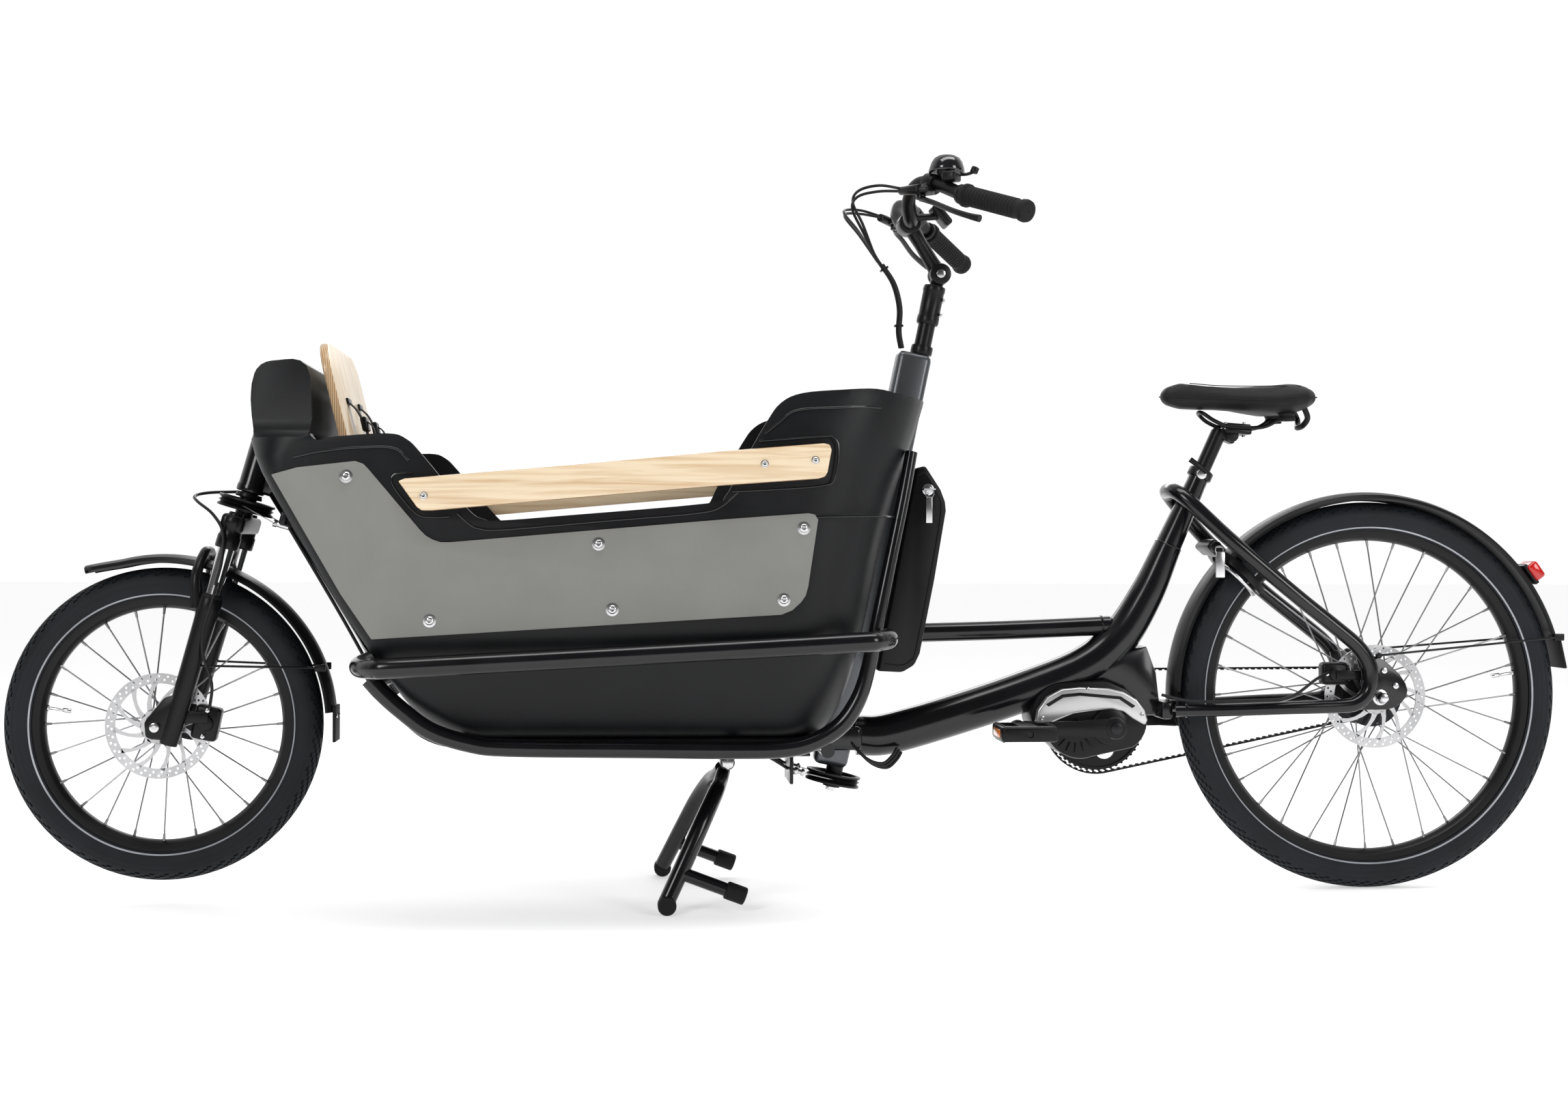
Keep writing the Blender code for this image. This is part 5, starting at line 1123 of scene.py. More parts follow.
# %% Lower half
top, foot = -0.168, -0.415
legs, wipers, ends = [], [], []
for side in SIDES:
    place = FORK_POINT + spot(0, side * LEG_Y, 0)
    legs.append(turned([(0.0137, top), (0.0176, top), (0.0188, top - 0.003), (0.0188, top - 0.02),
        (0.0176, top - 0.034), (0.0165, top - 0.12), (0.0154, foot + 0.01), (0.014, foot), (0.001, foot),
        (0.001, -0.356), (0.0137, -0.356)], place, FORK_UP, 44))
    x, side_y = FRONT_AXLE.x, side * (LEG_Y + 0.004)
    bore = rod(on_fork(-0.356, side * LEG_Y), on_fork(-0.15, side * LEG_Y), 0.0138, sides=40)
    legs.append(trimmed(plate([(x - 0.016, 0.274), (x - 0.006, 0.27), (x + 0.014, 0.27), (x + 0.024, 0.276),
        (x + 0.042, 0.3), (x + 0.048, 0.332), (x + 0.036, 0.345), (x + 0.014, 0.338), (x - 0.006, 0.314),
        (x - 0.018, 0.298)], side_y, 0.014, edge=0.004), bore))
    wipers.append(turned([(0.0134, top - 0.001), (0.0168, top - 0.001), (0.0172, top + 0.003),
        (0.015, top + 0.007), (0.0134, top + 0.007)], place, FORK_UP, 40))
    ends.append(rod(FRONT_AXLE + spot(0, side * 0.07, 0), FRONT_AXLE + spot(0, side * 0.08, 0), 0.009, 0.0078,
        sides=28, edge=0.0012))
    ends.append(rod(FRONT_AXLE + spot(0, side * 0.0795, 0), FRONT_AXLE + spot(0, side * 0.0806, 0), 0.0042,
        sides=6))
arch_route = [on_fork(-0.19, -LEG_Y, -0.018), on_fork(-0.14, -0.058, -0.034), on_fork(-0.104, -0.028, -0.038),
    on_fork(-0.1, 0, -0.038), on_fork(-0.104, 0.028, -0.038), on_fork(-0.14, 0.058, -0.034),
    on_fork(-0.19, LEG_Y, -0.018)]
legs.append(bent(arch_route, 1, radii=[0.0105, 0.0088, 0.0078, 0.0078, 0.0078, 0.0088, 0.0105], sides=24))
finished(together(*legs), "fork_lower_legs", SATIN_BLACK, "fork_lower", ["fork_lowers"])
finished(together(*wipers), "fork_wipers", RUBBER, "fork_lower")
ends.append(rod(FRONT_AXLE + spot(0, -0.06, 0), FRONT_AXLE + spot(0, -0.037, 0), 0.006))
ends.append(rod(FRONT_AXLE + spot(0, 0.037, 0), FRONT_AXLE + spot(0, 0.06, 0), 0.006))
finished(together(*ends), "front_axle_ends", BRIGHT_STEEL, "fork_lower")
print("legs made")


# %% Calipers
def caliper_of(centre, size, axle, disc_r, tilt):
    """Two rounded halves round the disc, with a piston boss."""
    disc = rod(axle + spot(0, ROTOR_Y - 0.0023, 0), axle + spot(0, ROTOR_Y + 0.0023, 0), disc_r, sides=64)
    half = trimmed(block(centre, size, tilt=tilt, edge=0.0065), disc)
    boss = rod(Vector(centre) + spot(0, -0.01, 0), Vector(centre) + spot(0, -0.0185, 0), 0.0135, 0.012,
        sides=36, edge=0.0015)
    return together(half, boss)


def caliper_bolts(centre, spread):
    return together(*[rod(Vector(centre) + spot(spread[0] * k, -0.013, spread[1] * k),
        Vector(centre) + spot(spread[0] * k, -0.019, spread[1] * k), 0.0038, sides=6,
        edge=0.0005) for k in (-1, 1)])


front_caliper, rear_caliper = (-0.99, ROTOR_Y, 0.295), (0.892, ROTOR_Y, 0.372)
front_mount = block((-1.01, -LEG_Y + 0.004, 0.305), (0.05, 0.012, 0.02), edge=0.003)
finished(together(caliper_of(front_caliper, (0.042, 0.028, 0.056), FRONT_AXLE, 0.087, 12), front_mount),
    "front_caliper", SATIN_BLACK, "fork_lower")
finished(caliper_bolts(front_caliper, (0.004, 0.021)), "front_caliper_bolts", BRIGHT_STEEL, "fork_lower")
rear_mount = block((0.915, -0.062, 0.37), (0.05, 0.008, 0.016), edge=0.002)
finished(together(caliper_of(rear_caliper, (0.046, 0.028, 0.038), REAR_AXLE, 0.089, 0), rear_mount),
    "rear_caliper", SATIN_BLACK)
finished(caliper_bolts(rear_caliper, (0.017, 0)), "rear_caliper_bolts", BRIGHT_STEEL)
front_hose = [(-0.983, -0.06, 0.32), (-0.978, -0.07, 0.36), (-0.99, -0.081, 0.41), (-0.988, -0.084, 0.45),
    (-0.976, -0.086, 0.49), (-0.966, -0.087, 0.525)]
finished(bent(front_hose, 0.0026, sides=12), "front_brake_hose", CABLE_SKIN, "fork_lower")
loop_route = [(-0.968, -0.093, 0.52), (-0.958, -0.093, 0.56), (-0.958, -0.084, 0.605),
    (-0.978, -0.066, 0.635), (-1.008, -0.038, 0.656), (-1.018, -0.006, 0.666), (-1, 0.024, 0.672),
    (-0.956, 0.038, 0.674)]
finished(bent(loop_route, 0.0026, sides=12), "front_hose_loop", CABLE_SKIN, "fork_upper")
print("calipers made")

# %% [markdown]
# ## Mudguards
# Each mudguard is a thin arched band whose edges turn in, held by two thin stays and ended by a rubber
# flap. The front one has a kinked tip that throws water forward.

# %% Mudguards
def guard(axle, reach, half_width, start, end, steps, kink=0):
    """An arched band swept round the axle; the section is a closed thin shell."""
    outside = [(-1, -0.015), (-0.97, -0.011), (-0.78, -0.005), (-0.45, -0.0016), (0, 0), (0.45, -0.0016),
        (0.78, -0.005), (0.97, -0.011), (1, -0.015)]
    inside = [(0.95, -0.015), (0.92, -0.0125), (0.75, -0.0072), (0.43, -0.0038), (0, -0.0022),
        (-0.43, -0.0038), (-0.75, -0.0072), (-0.92, -0.0125), (-0.95, -0.015)]
    rings = []
    for i in range(steps + 1):
        share = i / steps
        angle = math.radians(start + (end - start) * share)
        flare = kink * max(0, 1 - share * 9) ** 1.5
        out = spot(math.cos(angle), 0, math.sin(angle))
        rings.append([axle + out * (reach + drop + flare) + spot(0, half_width * y,
            0) for y, drop in outside + inside])
    return lofted(rings)


def on_wheel(axle, reach, degrees, y=0):
    angle = math.radians(degrees)
    return axle + spot(math.cos(angle) * reach, y, math.sin(angle) * reach)


def flap_of(axle, reach, degrees, body, name):
    middle = on_wheel(axle, reach - 0.002, degrees)
    finished(block(middle, (0.0048, 0.056, 0.06), tilt=-degrees, edge=0.0018), name, RUBBER, body)
    pins = [rod(on_wheel(axle, reach + 0.0005, degrees + 2.6, y), on_wheel(axle, reach + 0.0026,
        degrees + 2.6, y), 0.0036, sides=20, edge=0.0006) for y in (-0.016, 0.016)]
    finished(together(*pins), name + "_rivets", BRIGHT_STEEL, body)


for word, axle, reach, first, last, at, body, kink in (("front", FRONT_AXLE, 0.28, 116, 4, 0, "fork_lower",
        0.01), ("rear", REAR_AXLE, 0.35, 181, 16, 12.5, "frame", 0)):
    finished(guard(axle, reach, 0.032, first, last, 72, kink), word + "_mudguard", FENDER_BLACK, body,
        [word + "_fender"])
    flap_of(axle, reach, at, body, word + "_mud_flap")
stay_ends = (("rear", (0.96, 0.074, 0.404), (1.295, 0.034, 0.433), "frame"), ("front", (-1.02, 0.07, 0.39),
    (-0.811, 0.033, 0.383), "fork_lower"))
for word, root, tip, body in stay_ends:
    wires, clips = [], []
    for side in SIDES:
        start, end = both([root], side)[0], both([tip], side)[0]
        wires.append(rod(start, end, 0.0019, sides=12))
        clips.append(block(end, (0.018, 0.005, 0.012), edge=0.0015))
        clips.append(rod(start + spot(0, side * -0.003, 0), start + spot(0, side * 0.004, 0), 0.005, sides=20,
            edge=0.0006))
    finished(together(*wires), word + "_guard_stays", SATIN_BLACK, body)
    finished(together(*clips), word + "_stay_clips", SATIN_BLACK, body)
lens_at = on_wheel(REAR_AXLE, 0.3655, 36)
finished(block(lens_at, (0.021, 0.048, 0.033), tilt=-36, edge=0.006), "tail_lens", RED_LENS, "frame",
    ["rear_light"])
finished(block(on_wheel(REAR_AXLE, 0.3555, 36), (0.008, 0.04, 0.04), tilt=-36, edge=0.002), "tail_lamp_foot",
    SATIN_BLACK)
print("mudguards done")

# %% [markdown]
# ## Motor, belt and pedals
# The motor hangs under the main tube in a black ribbed casing, with a satin cover shaped like a soft
# wedge. A toothed belt runs on the far side round two toothed wheels.

# %% Motor
shell_edge = [*arc(0.43, 0.297, 0.06, 190, 95, 10), (0.5, 0.36), (0.535, 0.345), *arc(0.52, 0.29, 0.05, 35,
    -60, 10), *arc(0.455, 0.285, 0.057, -70, -150, 8)]
tube_room = bent(main_route, 1, radii=[r + 0.0006 for r in main_radii], steps=8, sides=36)
casing = trimmed(plate(shell_edge, -0.003, 0.084, edge=0.005), tube_room, rod(BRACKET + spot(0, -0.07, 0),
    BRACKET + spot(0, 0.07, 0), 0.0108, sides=32))
finished(casing, "motor_housing", SATIN_BLACK, "frame", ["motor_casing"])
cover_edge = [(0.3745, 0.29), (0.379, 0.313), (0.395, 0.334), (0.42, 0.347), (0.45, 0.35), (0.5, 0.348),
    (0.525, 0.343), (0.548, 0.33), (0.562, 0.312), (0.567, 0.295), (0.562, 0.286), (0.54, 0.298),
    (0.525, 0.309), (0.505, 0.313), (0.47, 0.31), (0.44, 0.306), (0.415, 0.296), (0.395, 0.287),
    (0.38, 0.285)]
finished(rounded(plate(cover_edge, -0.053, 0.015, edge=0), 0.0042, 4, 40), "motor_top_cover", SATIN_SILVER,
    "frame", ["motor_cover"])
# The black strip along the upper side of the silver cover is painted shade: it stands for the shade inside
# the cover's groove.
cover_groove_shade = plate([(0.392, 0.322), (0.42, 0.3385), (0.45, 0.3415), (0.52, 0.335), (0.545, 0.319),
    (0.5395, 0.315), (0.517, 0.33), (0.45, 0.336), (0.422, 0.333), (0.397, 0.318)], -0.0606, 0.0014,
    edge=0.0005)
finished(cover_groove_shade, "motor_cover_trim", SATIN_BLACK)
dial_rings = [turned([(0.0125, -0.0008), (0.048, -0.0008), (0.05, 0.001), (0.05, 0.007), (0.0125, 0.009)],
    (0.444, -0.0455, 0.284), (0, -1, 0), 72), turned([(0.0112, 0), (0.031, 0), (0.0325, 0.002),
    (0.031, 0.013), (0.024, 0.016), (0.0112, 0.016)], BRACKET + spot(0, -0.046, 0), (0, -1, 0), 60)]
ribs = [block((0.444 + 0.036 * math.cos(math.radians(a)), -0.056, 0.284 + 0.036 * math.sin(math.radians(a))),
    (0.016, 0.003, 0.0024), tilt=-a, edge=0.0006) for a in range(150, 331, 20)]
finished(together(*dial_rings, *ribs), "motor_dial", SATIN_BLACK)
screws = [button_screw((x, y, z), -1, 0.003, 0.0036) for x, y, z in ((0.386, -0.06, 0.299),
    (0.556, -0.06, 0.304), (0.463, -0.06, 0.347))]
finished(together(*screws), "motor_screws", BRIGHT_STEEL)
print("motor made")


# %% Toothed wheels
def toothed(centre, radius, bore, teeth, windows, body, name, replaces):
    """A belt wheel: a rim with teeth, a web with windows and side flanges."""
    y = spot(0, 0.05, 0)
    rim = turned([(radius - 0.008, -0.0058), (radius - 0.0034, -0.0058), (radius - 0.0034, 0.0058),
        (radius - 0.008, 0.0058)], centre + y, (0, 1, 0), 96)
    web = turned([(bore, -0.0024), (radius - 0.006, -0.0024), (radius - 0.006, 0.0024), (bore, 0.0024)],
        centre + y, (0, 1, 0), 96)
    if windows:
        holes = []
        for k in range(windows):
            reach = 0.58 * radius
            holes.append(rod(on_wheel(centre, reach, 360 * k / windows, 0.04), on_wheel(centre, reach,
                360 * k / windows, 0.06), 0.2 * radius, sides=32))
        web = trimmed(web, *holes)
    tooth = block(centre + y + spot(radius - 0.0024, 0, 0), (0.0026, 0.0112, 0.004), edge=0.0006)
    teeth_made = [tooth] + [copied(tooth, about(centre, (0, 1, 0), 360 * k / teeth)) for k in range(1, teeth)]
    collar = turned([(bore, -0.0058), (bore + 0.012, -0.0058), (bore + 0.014, -0.004), (bore + 0.014, 0.004),
        (bore + 0.012, 0.0058), (bore, 0.0058)], centre + y, (0, 1, 0), 60)
    finished(together(rim, web, collar, *teeth_made), name, SATIN_BLACK, body, replaces)


FRONT_R, REAR_R = 0.0875, 0.042
toothed(BRACKET, FRONT_R, 0.01, 50, 5, "crank", "front_belt_wheel", ["crank_right"])
toothed(REAR_AXLE, REAR_R, 0.0066, 24, 0, "rear_sprocket_body", "rear_belt_wheel", ["rear_sprocket"])

# %% Belt
span = REAR_AXLE - BRACKET
run_length = math.hypot(span.x, span.z)
slope = math.degrees(math.atan2(span.z, span.x))
lean = math.degrees(math.asin((FRONT_R - REAR_R) / run_length))


def belt_path(extra):
    """The belt's line: the points of two arcs, which two straight runs join."""
    front = arc(BRACKET.x, BRACKET.z, FRONT_R + extra, slope + 90 - lean, slope + 270 + lean, 60)
    rear = arc(REAR_AXLE.x, REAR_AXLE.z, REAR_R + extra, slope - 90 + lean, slope + 90 - lean, 30)
    return front + rear


outer_line, inner_line = belt_path(0.004), belt_path(0.0016)
belt = trimmed(plate(outer_line, 0.05, 0.01, edge=0), plate(inner_line, 0.05, 0.03, edge=0))
corners = [spot(x, 0.05, z) for x, z in belt_path(0.001)]
corners.append(corners[0])
pitch, carried, lugs = 0.011, 0, []
for start, end in zip(corners, corners[1:]):
    length = (end - start).length
    along = (end - start).normalized()
    while carried < length:
        lugs.append(block(start + along * carried, (0.0046, 0.0098, 0.0026),
            tilt=-math.degrees(math.atan2(along.z, along.x)), edge=0))
        carried += pitch
    carried -= length
finished(together(belt, *lugs), "toothed_belt", RUBBER, "frame", ["drive_belt"])
print("belt teeth:", len(lugs))

# %% [markdown]
# The cranks are forged arms that thin towards the pedal. A pedal is a frame of plastic with a rubber
# tread and an amber reflector at each end, and it keeps level because it rides its own body.

# %% Cranks and pedals
for word, side in (("left", -1), ("right", 1)):
    tip_x = BRACKET.x + side * 0.165
    rings = []
    for share, width, thick, y in ((0, 0.034, 0.013, 0.092), (0.1, 0.031, 0.013, 0.0925),
            (0.35, 0.025, 0.0118, 0.0935), (0.75, 0.023, 0.011, 0.0942), (0.92, 0.026, 0.0118, 0.0942),
            (1, 0.023, 0.011, 0.0942)):
        x = BRACKET.x + (tip_x - BRACKET.x) * share
        rings.append([spot(x, side * (y + thick / 2 * sy), BRACKET.z + width / 2 * sz) for sy, sz in ((-1,
            -0.7), (-0.7, -1), (0.7, -1), (1, -0.7), (1, 0.7), (0.7, 1), (-0.7, 1), (-1, 0.7))])
    arm = together(lofted(rings), rod((BRACKET.x, side * 0.085, BRACKET.z), (BRACKET.x, side * 0.1,
        BRACKET.z), 0.019, 0.0175, sides=40, edge=0.0015), rod((tip_x, side * 0.0875, BRACKET.z),
        (tip_x, side * 0.101, BRACKET.z), 0.015, sides=36, edge=0.002))
    finished(arm, "crank_arm_" + word, SATIN_BLACK, "crank", ["crank_left"] if side < 0 else ())
    bolt = together(rod((BRACKET.x, side * 0.0995, BRACKET.z), (BRACKET.x, side * 0.103, BRACKET.z), 0.01,
        sides=28, edge=0.001), rod((tip_x, side * 0.099, BRACKET.z), (tip_x, side * 0.196, BRACKET.z), 0.0046,
        sides=20))
    finished(bolt, "crank_bolt_" + word, ANODISED, "crank")
    y = side * 0.153
    cage = trimmed(block((tip_x, y, BRACKET.z), (0.092, 0.092, 0.025), edge=0.005),
        block((tip_x - 0.026, y, BRACKET.z), (0.022, 0.06, 0.04), edge=0.002),
        block((tip_x + 0.026, y, BRACKET.z), (0.022, 0.06, 0.04), edge=0.002),
        rod((tip_x, side * 0.09, BRACKET.z), (tip_x, side * 0.21, BRACKET.z), 0.0054, sides=20))
    tread = [block((tip_x + dx, y + dy, BRACKET.z + dz), (0.003, 0.008, 0.0016),
        edge=0.0004) for dx in (-0.041, 0.041) for dy in (-0.032, -0.016, 0, 0.016, 0.032) for dz in (-0.013,
        0.013)]
    finished(together(cage, *tread), "pedal_cage_" + word, SATIN_BLACK, "pedal_" + word + "_body",
        ["pedal_" + word])
    ambers = [block((tip_x + dx, y, BRACKET.z), (0.003, 0.054, 0.013), edge=0.0008) for dx in (-0.0455,
        0.0455)]
    finished(together(*ambers), "pedal_reflectors_" + word, AMBER, "pedal_" + word + "_body")
finished(rod(BRACKET + spot(0, -0.085, 0), BRACKET + spot(0, 0.09, 0), 0.0098, sides=32), "crank_spindle",
    BRIGHT_STEEL, "crank")
print("cranks and pedals made")

# %% [markdown]
# ## Battery, stand and wheel lock
# The battery case hangs behind the tub and lifts off along the column. A seam runs round it, and a small
# key hangs in its lock. The stand is two splayed legs with rubber caps on their rear pegs.

# %% Battery
case_edge = [(0.1665, 0.715), (0.182, 0.72), (0.208, 0.68), (0.2155, 0.66), (0.217, 0.645), (0.198, 0.531),
    (0.174, 0.409), (0.165, 0.39), (0.145, 0.378), (0.103, 0.38)]
case = trimmed(plate(case_edge, 0, 0.19, edge=0), block((0.165, 0, 0.4), (0.2, 0.037, 0.121), edge=0))
finished(rounded(case, 0.0048, 3, 25), "battery_case", FENDER_BLACK, "battery_pack", ["battery"])
for word, side in (("left", -1), ("right", 1)):
    frame_line = [(0.17, 0.704), (0.1815, 0.707), (0.2, 0.677), (0.208, 0.645), (0.19, 0.533),
        (0.1665, 0.414), (0.158, 0.398), (0.144, 0.39), (0.115, 0.392)]
    seam = bent(both([(x, 0.095, z) for x, z in frame_line], side), 0.0011, sides=8)
    finished(seam, "battery_seam_" + word, SATIN_BLACK, "battery_pack")
lock_disc = rod((0.186, -0.094, 0.68), (0.186, -0.0975, 0.68), 0.01, sides=32, edge=0.001)
finished(lock_disc, "battery_lock_disc", BRIGHT_STEEL, "battery_pack")
key_blade = together(rod((0.186, -0.097, 0.68), (0.186, -0.101, 0.68), 0.0055, sides=28, edge=0.0008),
    block((0.186, -0.109, 0.68), (0.02, 0.018, 0.0026), edge=0.0008))
finished(key_blade, "battery_key_blade", BRIGHT_STEEL, "battery_key_body", ["battery_key"])
key_ring = turned([(0.0065, -0.0006), (0.0077, -0.0006), (0.0077, 0.0006), (0.0065, 0.0006)],
    (0.186, -0.1165, 0.673), (0, 1, 0), 32)
tag = block((0.185, -0.1165, 0.646), (0.011, 0.0024, 0.043), edge=0.001)
finished(together(key_ring, tag), "battery_key_tag", BRIGHT_STEEL, "battery_key_body")
print("battery made")

# %% Stand
ears = [(-0.16, 0.257), (-0.122, 0.257), (-0.1306, 0.2275), (-0.131, 0.222), (-0.135, 0.2165),
    (-0.147, 0.2165), (-0.152, 0.222), (-0.153, 0.2275)]
cross = rod((STAND_PIVOT.x, -0.247, 0.267), (STAND_PIVOT.x, 0.247, 0.267), 0.011, sides=28)
bridge = block((STAND_PIVOT.x, 0, 0.252), (0.036, 0.106, 0.01), edge=0.002)
finished(together(cross, bridge, plate(ears, -0.048, 0.008, edge=0.002), plate(ears, 0.048, 0.008,
    edge=0.002)), "stand_mount", FRAME_PAINT, "frame", ["stand_bracket"])
pin = together(rod(STAND_PIVOT + spot(0, -0.057, 0), STAND_PIVOT + spot(0, 0.057, 0), 0.0062, sides=24),
    rod(STAND_PIVOT + spot(0, -0.058, 0), STAND_PIVOT + spot(0, -0.053, 0), 0.01, sides=6, edge=0.0008),
    rod(STAND_PIVOT + spot(0, 0.053, 0), STAND_PIVOT + spot(0, 0.058, 0), 0.01, sides=6, edge=0.0008))
finished(pin, "stand_pin", BRIGHT_STEEL)
for word, side in (("left", -1), ("right", 1)):
    leg_route = both([(-0.147, 0.03, 0.209), (-0.154, 0.06, 0.194), (-0.164, 0.1, 0.18),
        (-0.185, 0.14, 0.142), (-0.215, 0.165, 0.08), (-0.244, 0.183, 0.02)], side)
    barrel = turned([(0.0066, 0), (0.0125, 0), (0.0125, 0.042), (0.0066, 0.042)], STAND_PIVOT + spot(0,
        side * 0.0007, 0), (0, side, 0), 32)
    peg = rod((-0.224, side * 0.172, 0.064), (-0.13, side * 0.172, 0.0285), 0.011, sides=24)
    finished(together(bent(leg_route, 1, radii=[0.0115, 0.0122, 0.0135, 0.014, 0.014, 0.0135], sides=28),
        barrel, peg), "stand_tube_" + word, FRAME_PAINT, "stand", ["stand_leg_" + word])
    cap = rod((-0.15, side * 0.172, 0.036), (-0.118, side * 0.172, 0.024), 0.0145, sides=32, edge=0.003)
    sole = rod((-0.244, side * 0.175, 0.015), (-0.244, side * 0.205, 0.015), 0.015, sides=32, edge=0.003)
    finished(together(cap, sole), "stand_rubbers_" + word, RUBBER, "stand")
print("stand made")

# %% Wheel lock
LOCK_TILT = -137.4
LOCK_OUT = spot(math.cos(math.radians(-LOCK_TILT)), 0, math.sin(math.radians(-LOCK_TILT)))
LOCK_AXIS = spot(-LOCK_OUT.z, 0, LOCK_OUT.x)
LOCK_CENTRE = REAR_AXLE + LOCK_OUT * 0.312
lock_ring = trimmed(turned([(0.0462, -0.0068), (0.0578, -0.0068), (0.058, -0.005), (0.058, 0.005),
    (0.0578, 0.0068), (0.0462, 0.0068)], LOCK_CENTRE, LOCK_AXIS, 64), block(LOCK_CENTRE - LOCK_OUT * 0.05,
    (0.06, 0.06, 0.04), tilt=LOCK_TILT, edge=0))
lock_house = block(LOCK_CENTRE + LOCK_OUT * 0.063, (0.026, 0.084, 0.021), tilt=LOCK_TILT, edge=0.006)
lock_side = LOCK_CENTRE + LOCK_OUT * 0.064 + spot(0, -0.04, 0)
core = rod(lock_side + spot(0, 0.006, 0), lock_side + spot(0, -0.006, 0), 0.0095, sides=32, edge=0.0015)
finished(together(lock_ring, lock_house, core), "ring_lock", SATIN_BLACK, "frame", ["frame_lock"])
shackle_route = []
for i in range(9):
    angle = math.radians(40 + 12.5 * i)
    out = LOCK_OUT * -math.cos(angle) + spot(0, -math.sin(angle), 0)
    shackle_route.append(LOCK_CENTRE + LOCK_AXIS * 0.014 + out * 0.052)
finished(bent(shackle_route, 0.0042, sides=20), "lock_shackle_bar", BRIGHT_STEEL, "lock_shackle_body",
    ["lock_shackle"])
lock_key = together(block(lock_side + spot(0, -0.013, 0), (0.009, 0.018, 0.0022), edge=0.0006),
    block(lock_side + spot(0.002, -0.02, -0.03), (0.016, 0.003, 0.044), edge=0.0012),
    turned([(0.006, -0.0006), (0.0072, -0.0006), (0.0072, 0.0006), (0.006, 0.0006)],
    lock_side + spot(0, -0.02, -0.005), (0, 1, 0), 28))
finished(lock_key, "lock_key", BRIGHT_STEEL)
print("lock made")

# %% [markdown]
# ## Cockpit
# The steering shaft comes out of the column and carries a stem that tilts at a bolted pivot. The
# handlebar sweeps back to soft ribbed grips, with a brake lever, a hose and a small unit on each side.

# %% Shaft, stem and bar
STEM_PIVOT = spot(0.219, 0, 1.048)
BAR_CLAMP = spot(0.166, 0, 1.133)
shaft = rod(on_column(-0.77), on_column(0.085), 0.0145, sides=36)
collar = turned([(0.014, -0.022), (0.018, -0.022), (0.0186, -0.019), (0.0186, -0.01), (0.0178, -0.0075),
    (0.014, -0.0075)], COLUMN_POINT, COLUMN_UP, 40)
finished(together(shaft, collar), "steering_tube", SATIN_BLACK, "steering", ["steering_shaft"])
finished(turned(wheel_profile, on_column(-0.755), COLUMN_UP, 72), "rear_wire_wheel", ANODISED, "steering")
finished(rod(on_column(-0.777), on_column(-0.765), 0.009, sides=6, edge=0.0008), "wire_wheel_nut",
    BRIGHT_STEEL, "steering")
sleeve = trimmed(turned([(0.0149, 0.03), (0.0178, 0.03), (0.0188, 0.033), (0.0188, 0.043), (0.018, 0.045),
    (0.018, 0.085), (0.0188, 0.087), (0.0188, 0.094), (0.0178, 0.096), (0.0149, 0.096)], COLUMN_POINT,
    COLUMN_UP, 44), rod(STEM_PIVOT + spot(0, -0.03, 0), STEM_PIVOT + spot(0, 0.03, 0), 0.013, sides=32))
lug = rod(STEM_PIVOT + spot(0, -0.006, 0), STEM_PIVOT + spot(0, 0.006, 0), 0.017, sides=40, edge=0.001)
neck = block((0.2145, 0, 1.034), (0.022, 0.012, 0.036), tilt=COLUMN_TILT, edge=0.002)
cheeks = [rod(STEM_PIVOT + spot(0, side * 0.0064, 0), STEM_PIVOT + spot(0, side * 0.018, 0), 0.018, sides=40,
    edge=0.002) for side in SIDES]
arm_rings = []
for share, wide, deep in ((0, 0.03, 0.03), (0.25, 0.027, 0.025), (0.6, 0.026, 0.023), (0.9, 0.036, 0.026)):
    middle = STEM_PIVOT + (BAR_CLAMP - STEM_PIVOT) * share
    along = (BAR_CLAMP - STEM_PIVOT).normalized()
    up_side = spot(-along.z, 0, along.x)
    arm_rings.append([middle + spot(0, wide / 2 * math.cos(a), 0) + up_side * deep / 2 * math.sin(a)
        for a in [math.tau * i / 24 for i in range(24)]])
clamp = rod(BAR_CLAMP + spot(0, -0.022, 0), BAR_CLAMP + spot(0, 0.022, 0), 0.019, sides=40, edge=0.002)
finished(together(sleeve, lug, neck), "stem_foot", SATIN_BLACK, "steering", ["stem_lower"])
finished(together(*cheeks, lofted(arm_rings), clamp), "stem_arm", SATIN_BLACK, "steering")
stem_bolts = [rod(STEM_PIVOT + spot(0, side * 0.0175, 0), STEM_PIVOT + spot(0, side * 0.02, 0), 0.0075,
    sides=28, edge=0.0008) for side in SIDES]
stem_bolts += [rod(on_column(along, side * 0.01, 0.0165), on_column(along, side * 0.01, 0.0215), 0.003,
    sides=16, edge=0.0004) for side in SIDES for along in (0.05, 0.075)]
finished(together(*stem_bolts), "stem_bolts", BRIGHT_STEEL, "steering")
GRIP_START, GRIP_END = spot(0.23, 0.193, 1.15), spot(0.311, 0.3, 1.107)
bar_half = [(0.166, 0, 1.133), (0.166, 0.024, 1.133), (0.162, 0.048, 1.14), (0.156, 0.076, 1.163),
    (0.166, 0.105, 1.182), (0.19, 0.138, 1.178), GRIP_START, (GRIP_START + GRIP_END) / 2,
    GRIP_END - (GRIP_END - GRIP_START).normalized() * 0.006]
bar_route = both(bar_half, -1)[::-1] + both(bar_half, 1)[1:]
finished(bent(bar_route, 1, radii=[0.0111] * 6 + [0.0125] * 5 + [0.0111] * 6, steps=6, sides=28),
    "handlebar_tube", SATIN_BLACK, "steering", ["handlebar"])
print("bar width", round(2 * GRIP_END.y, 2), "m")

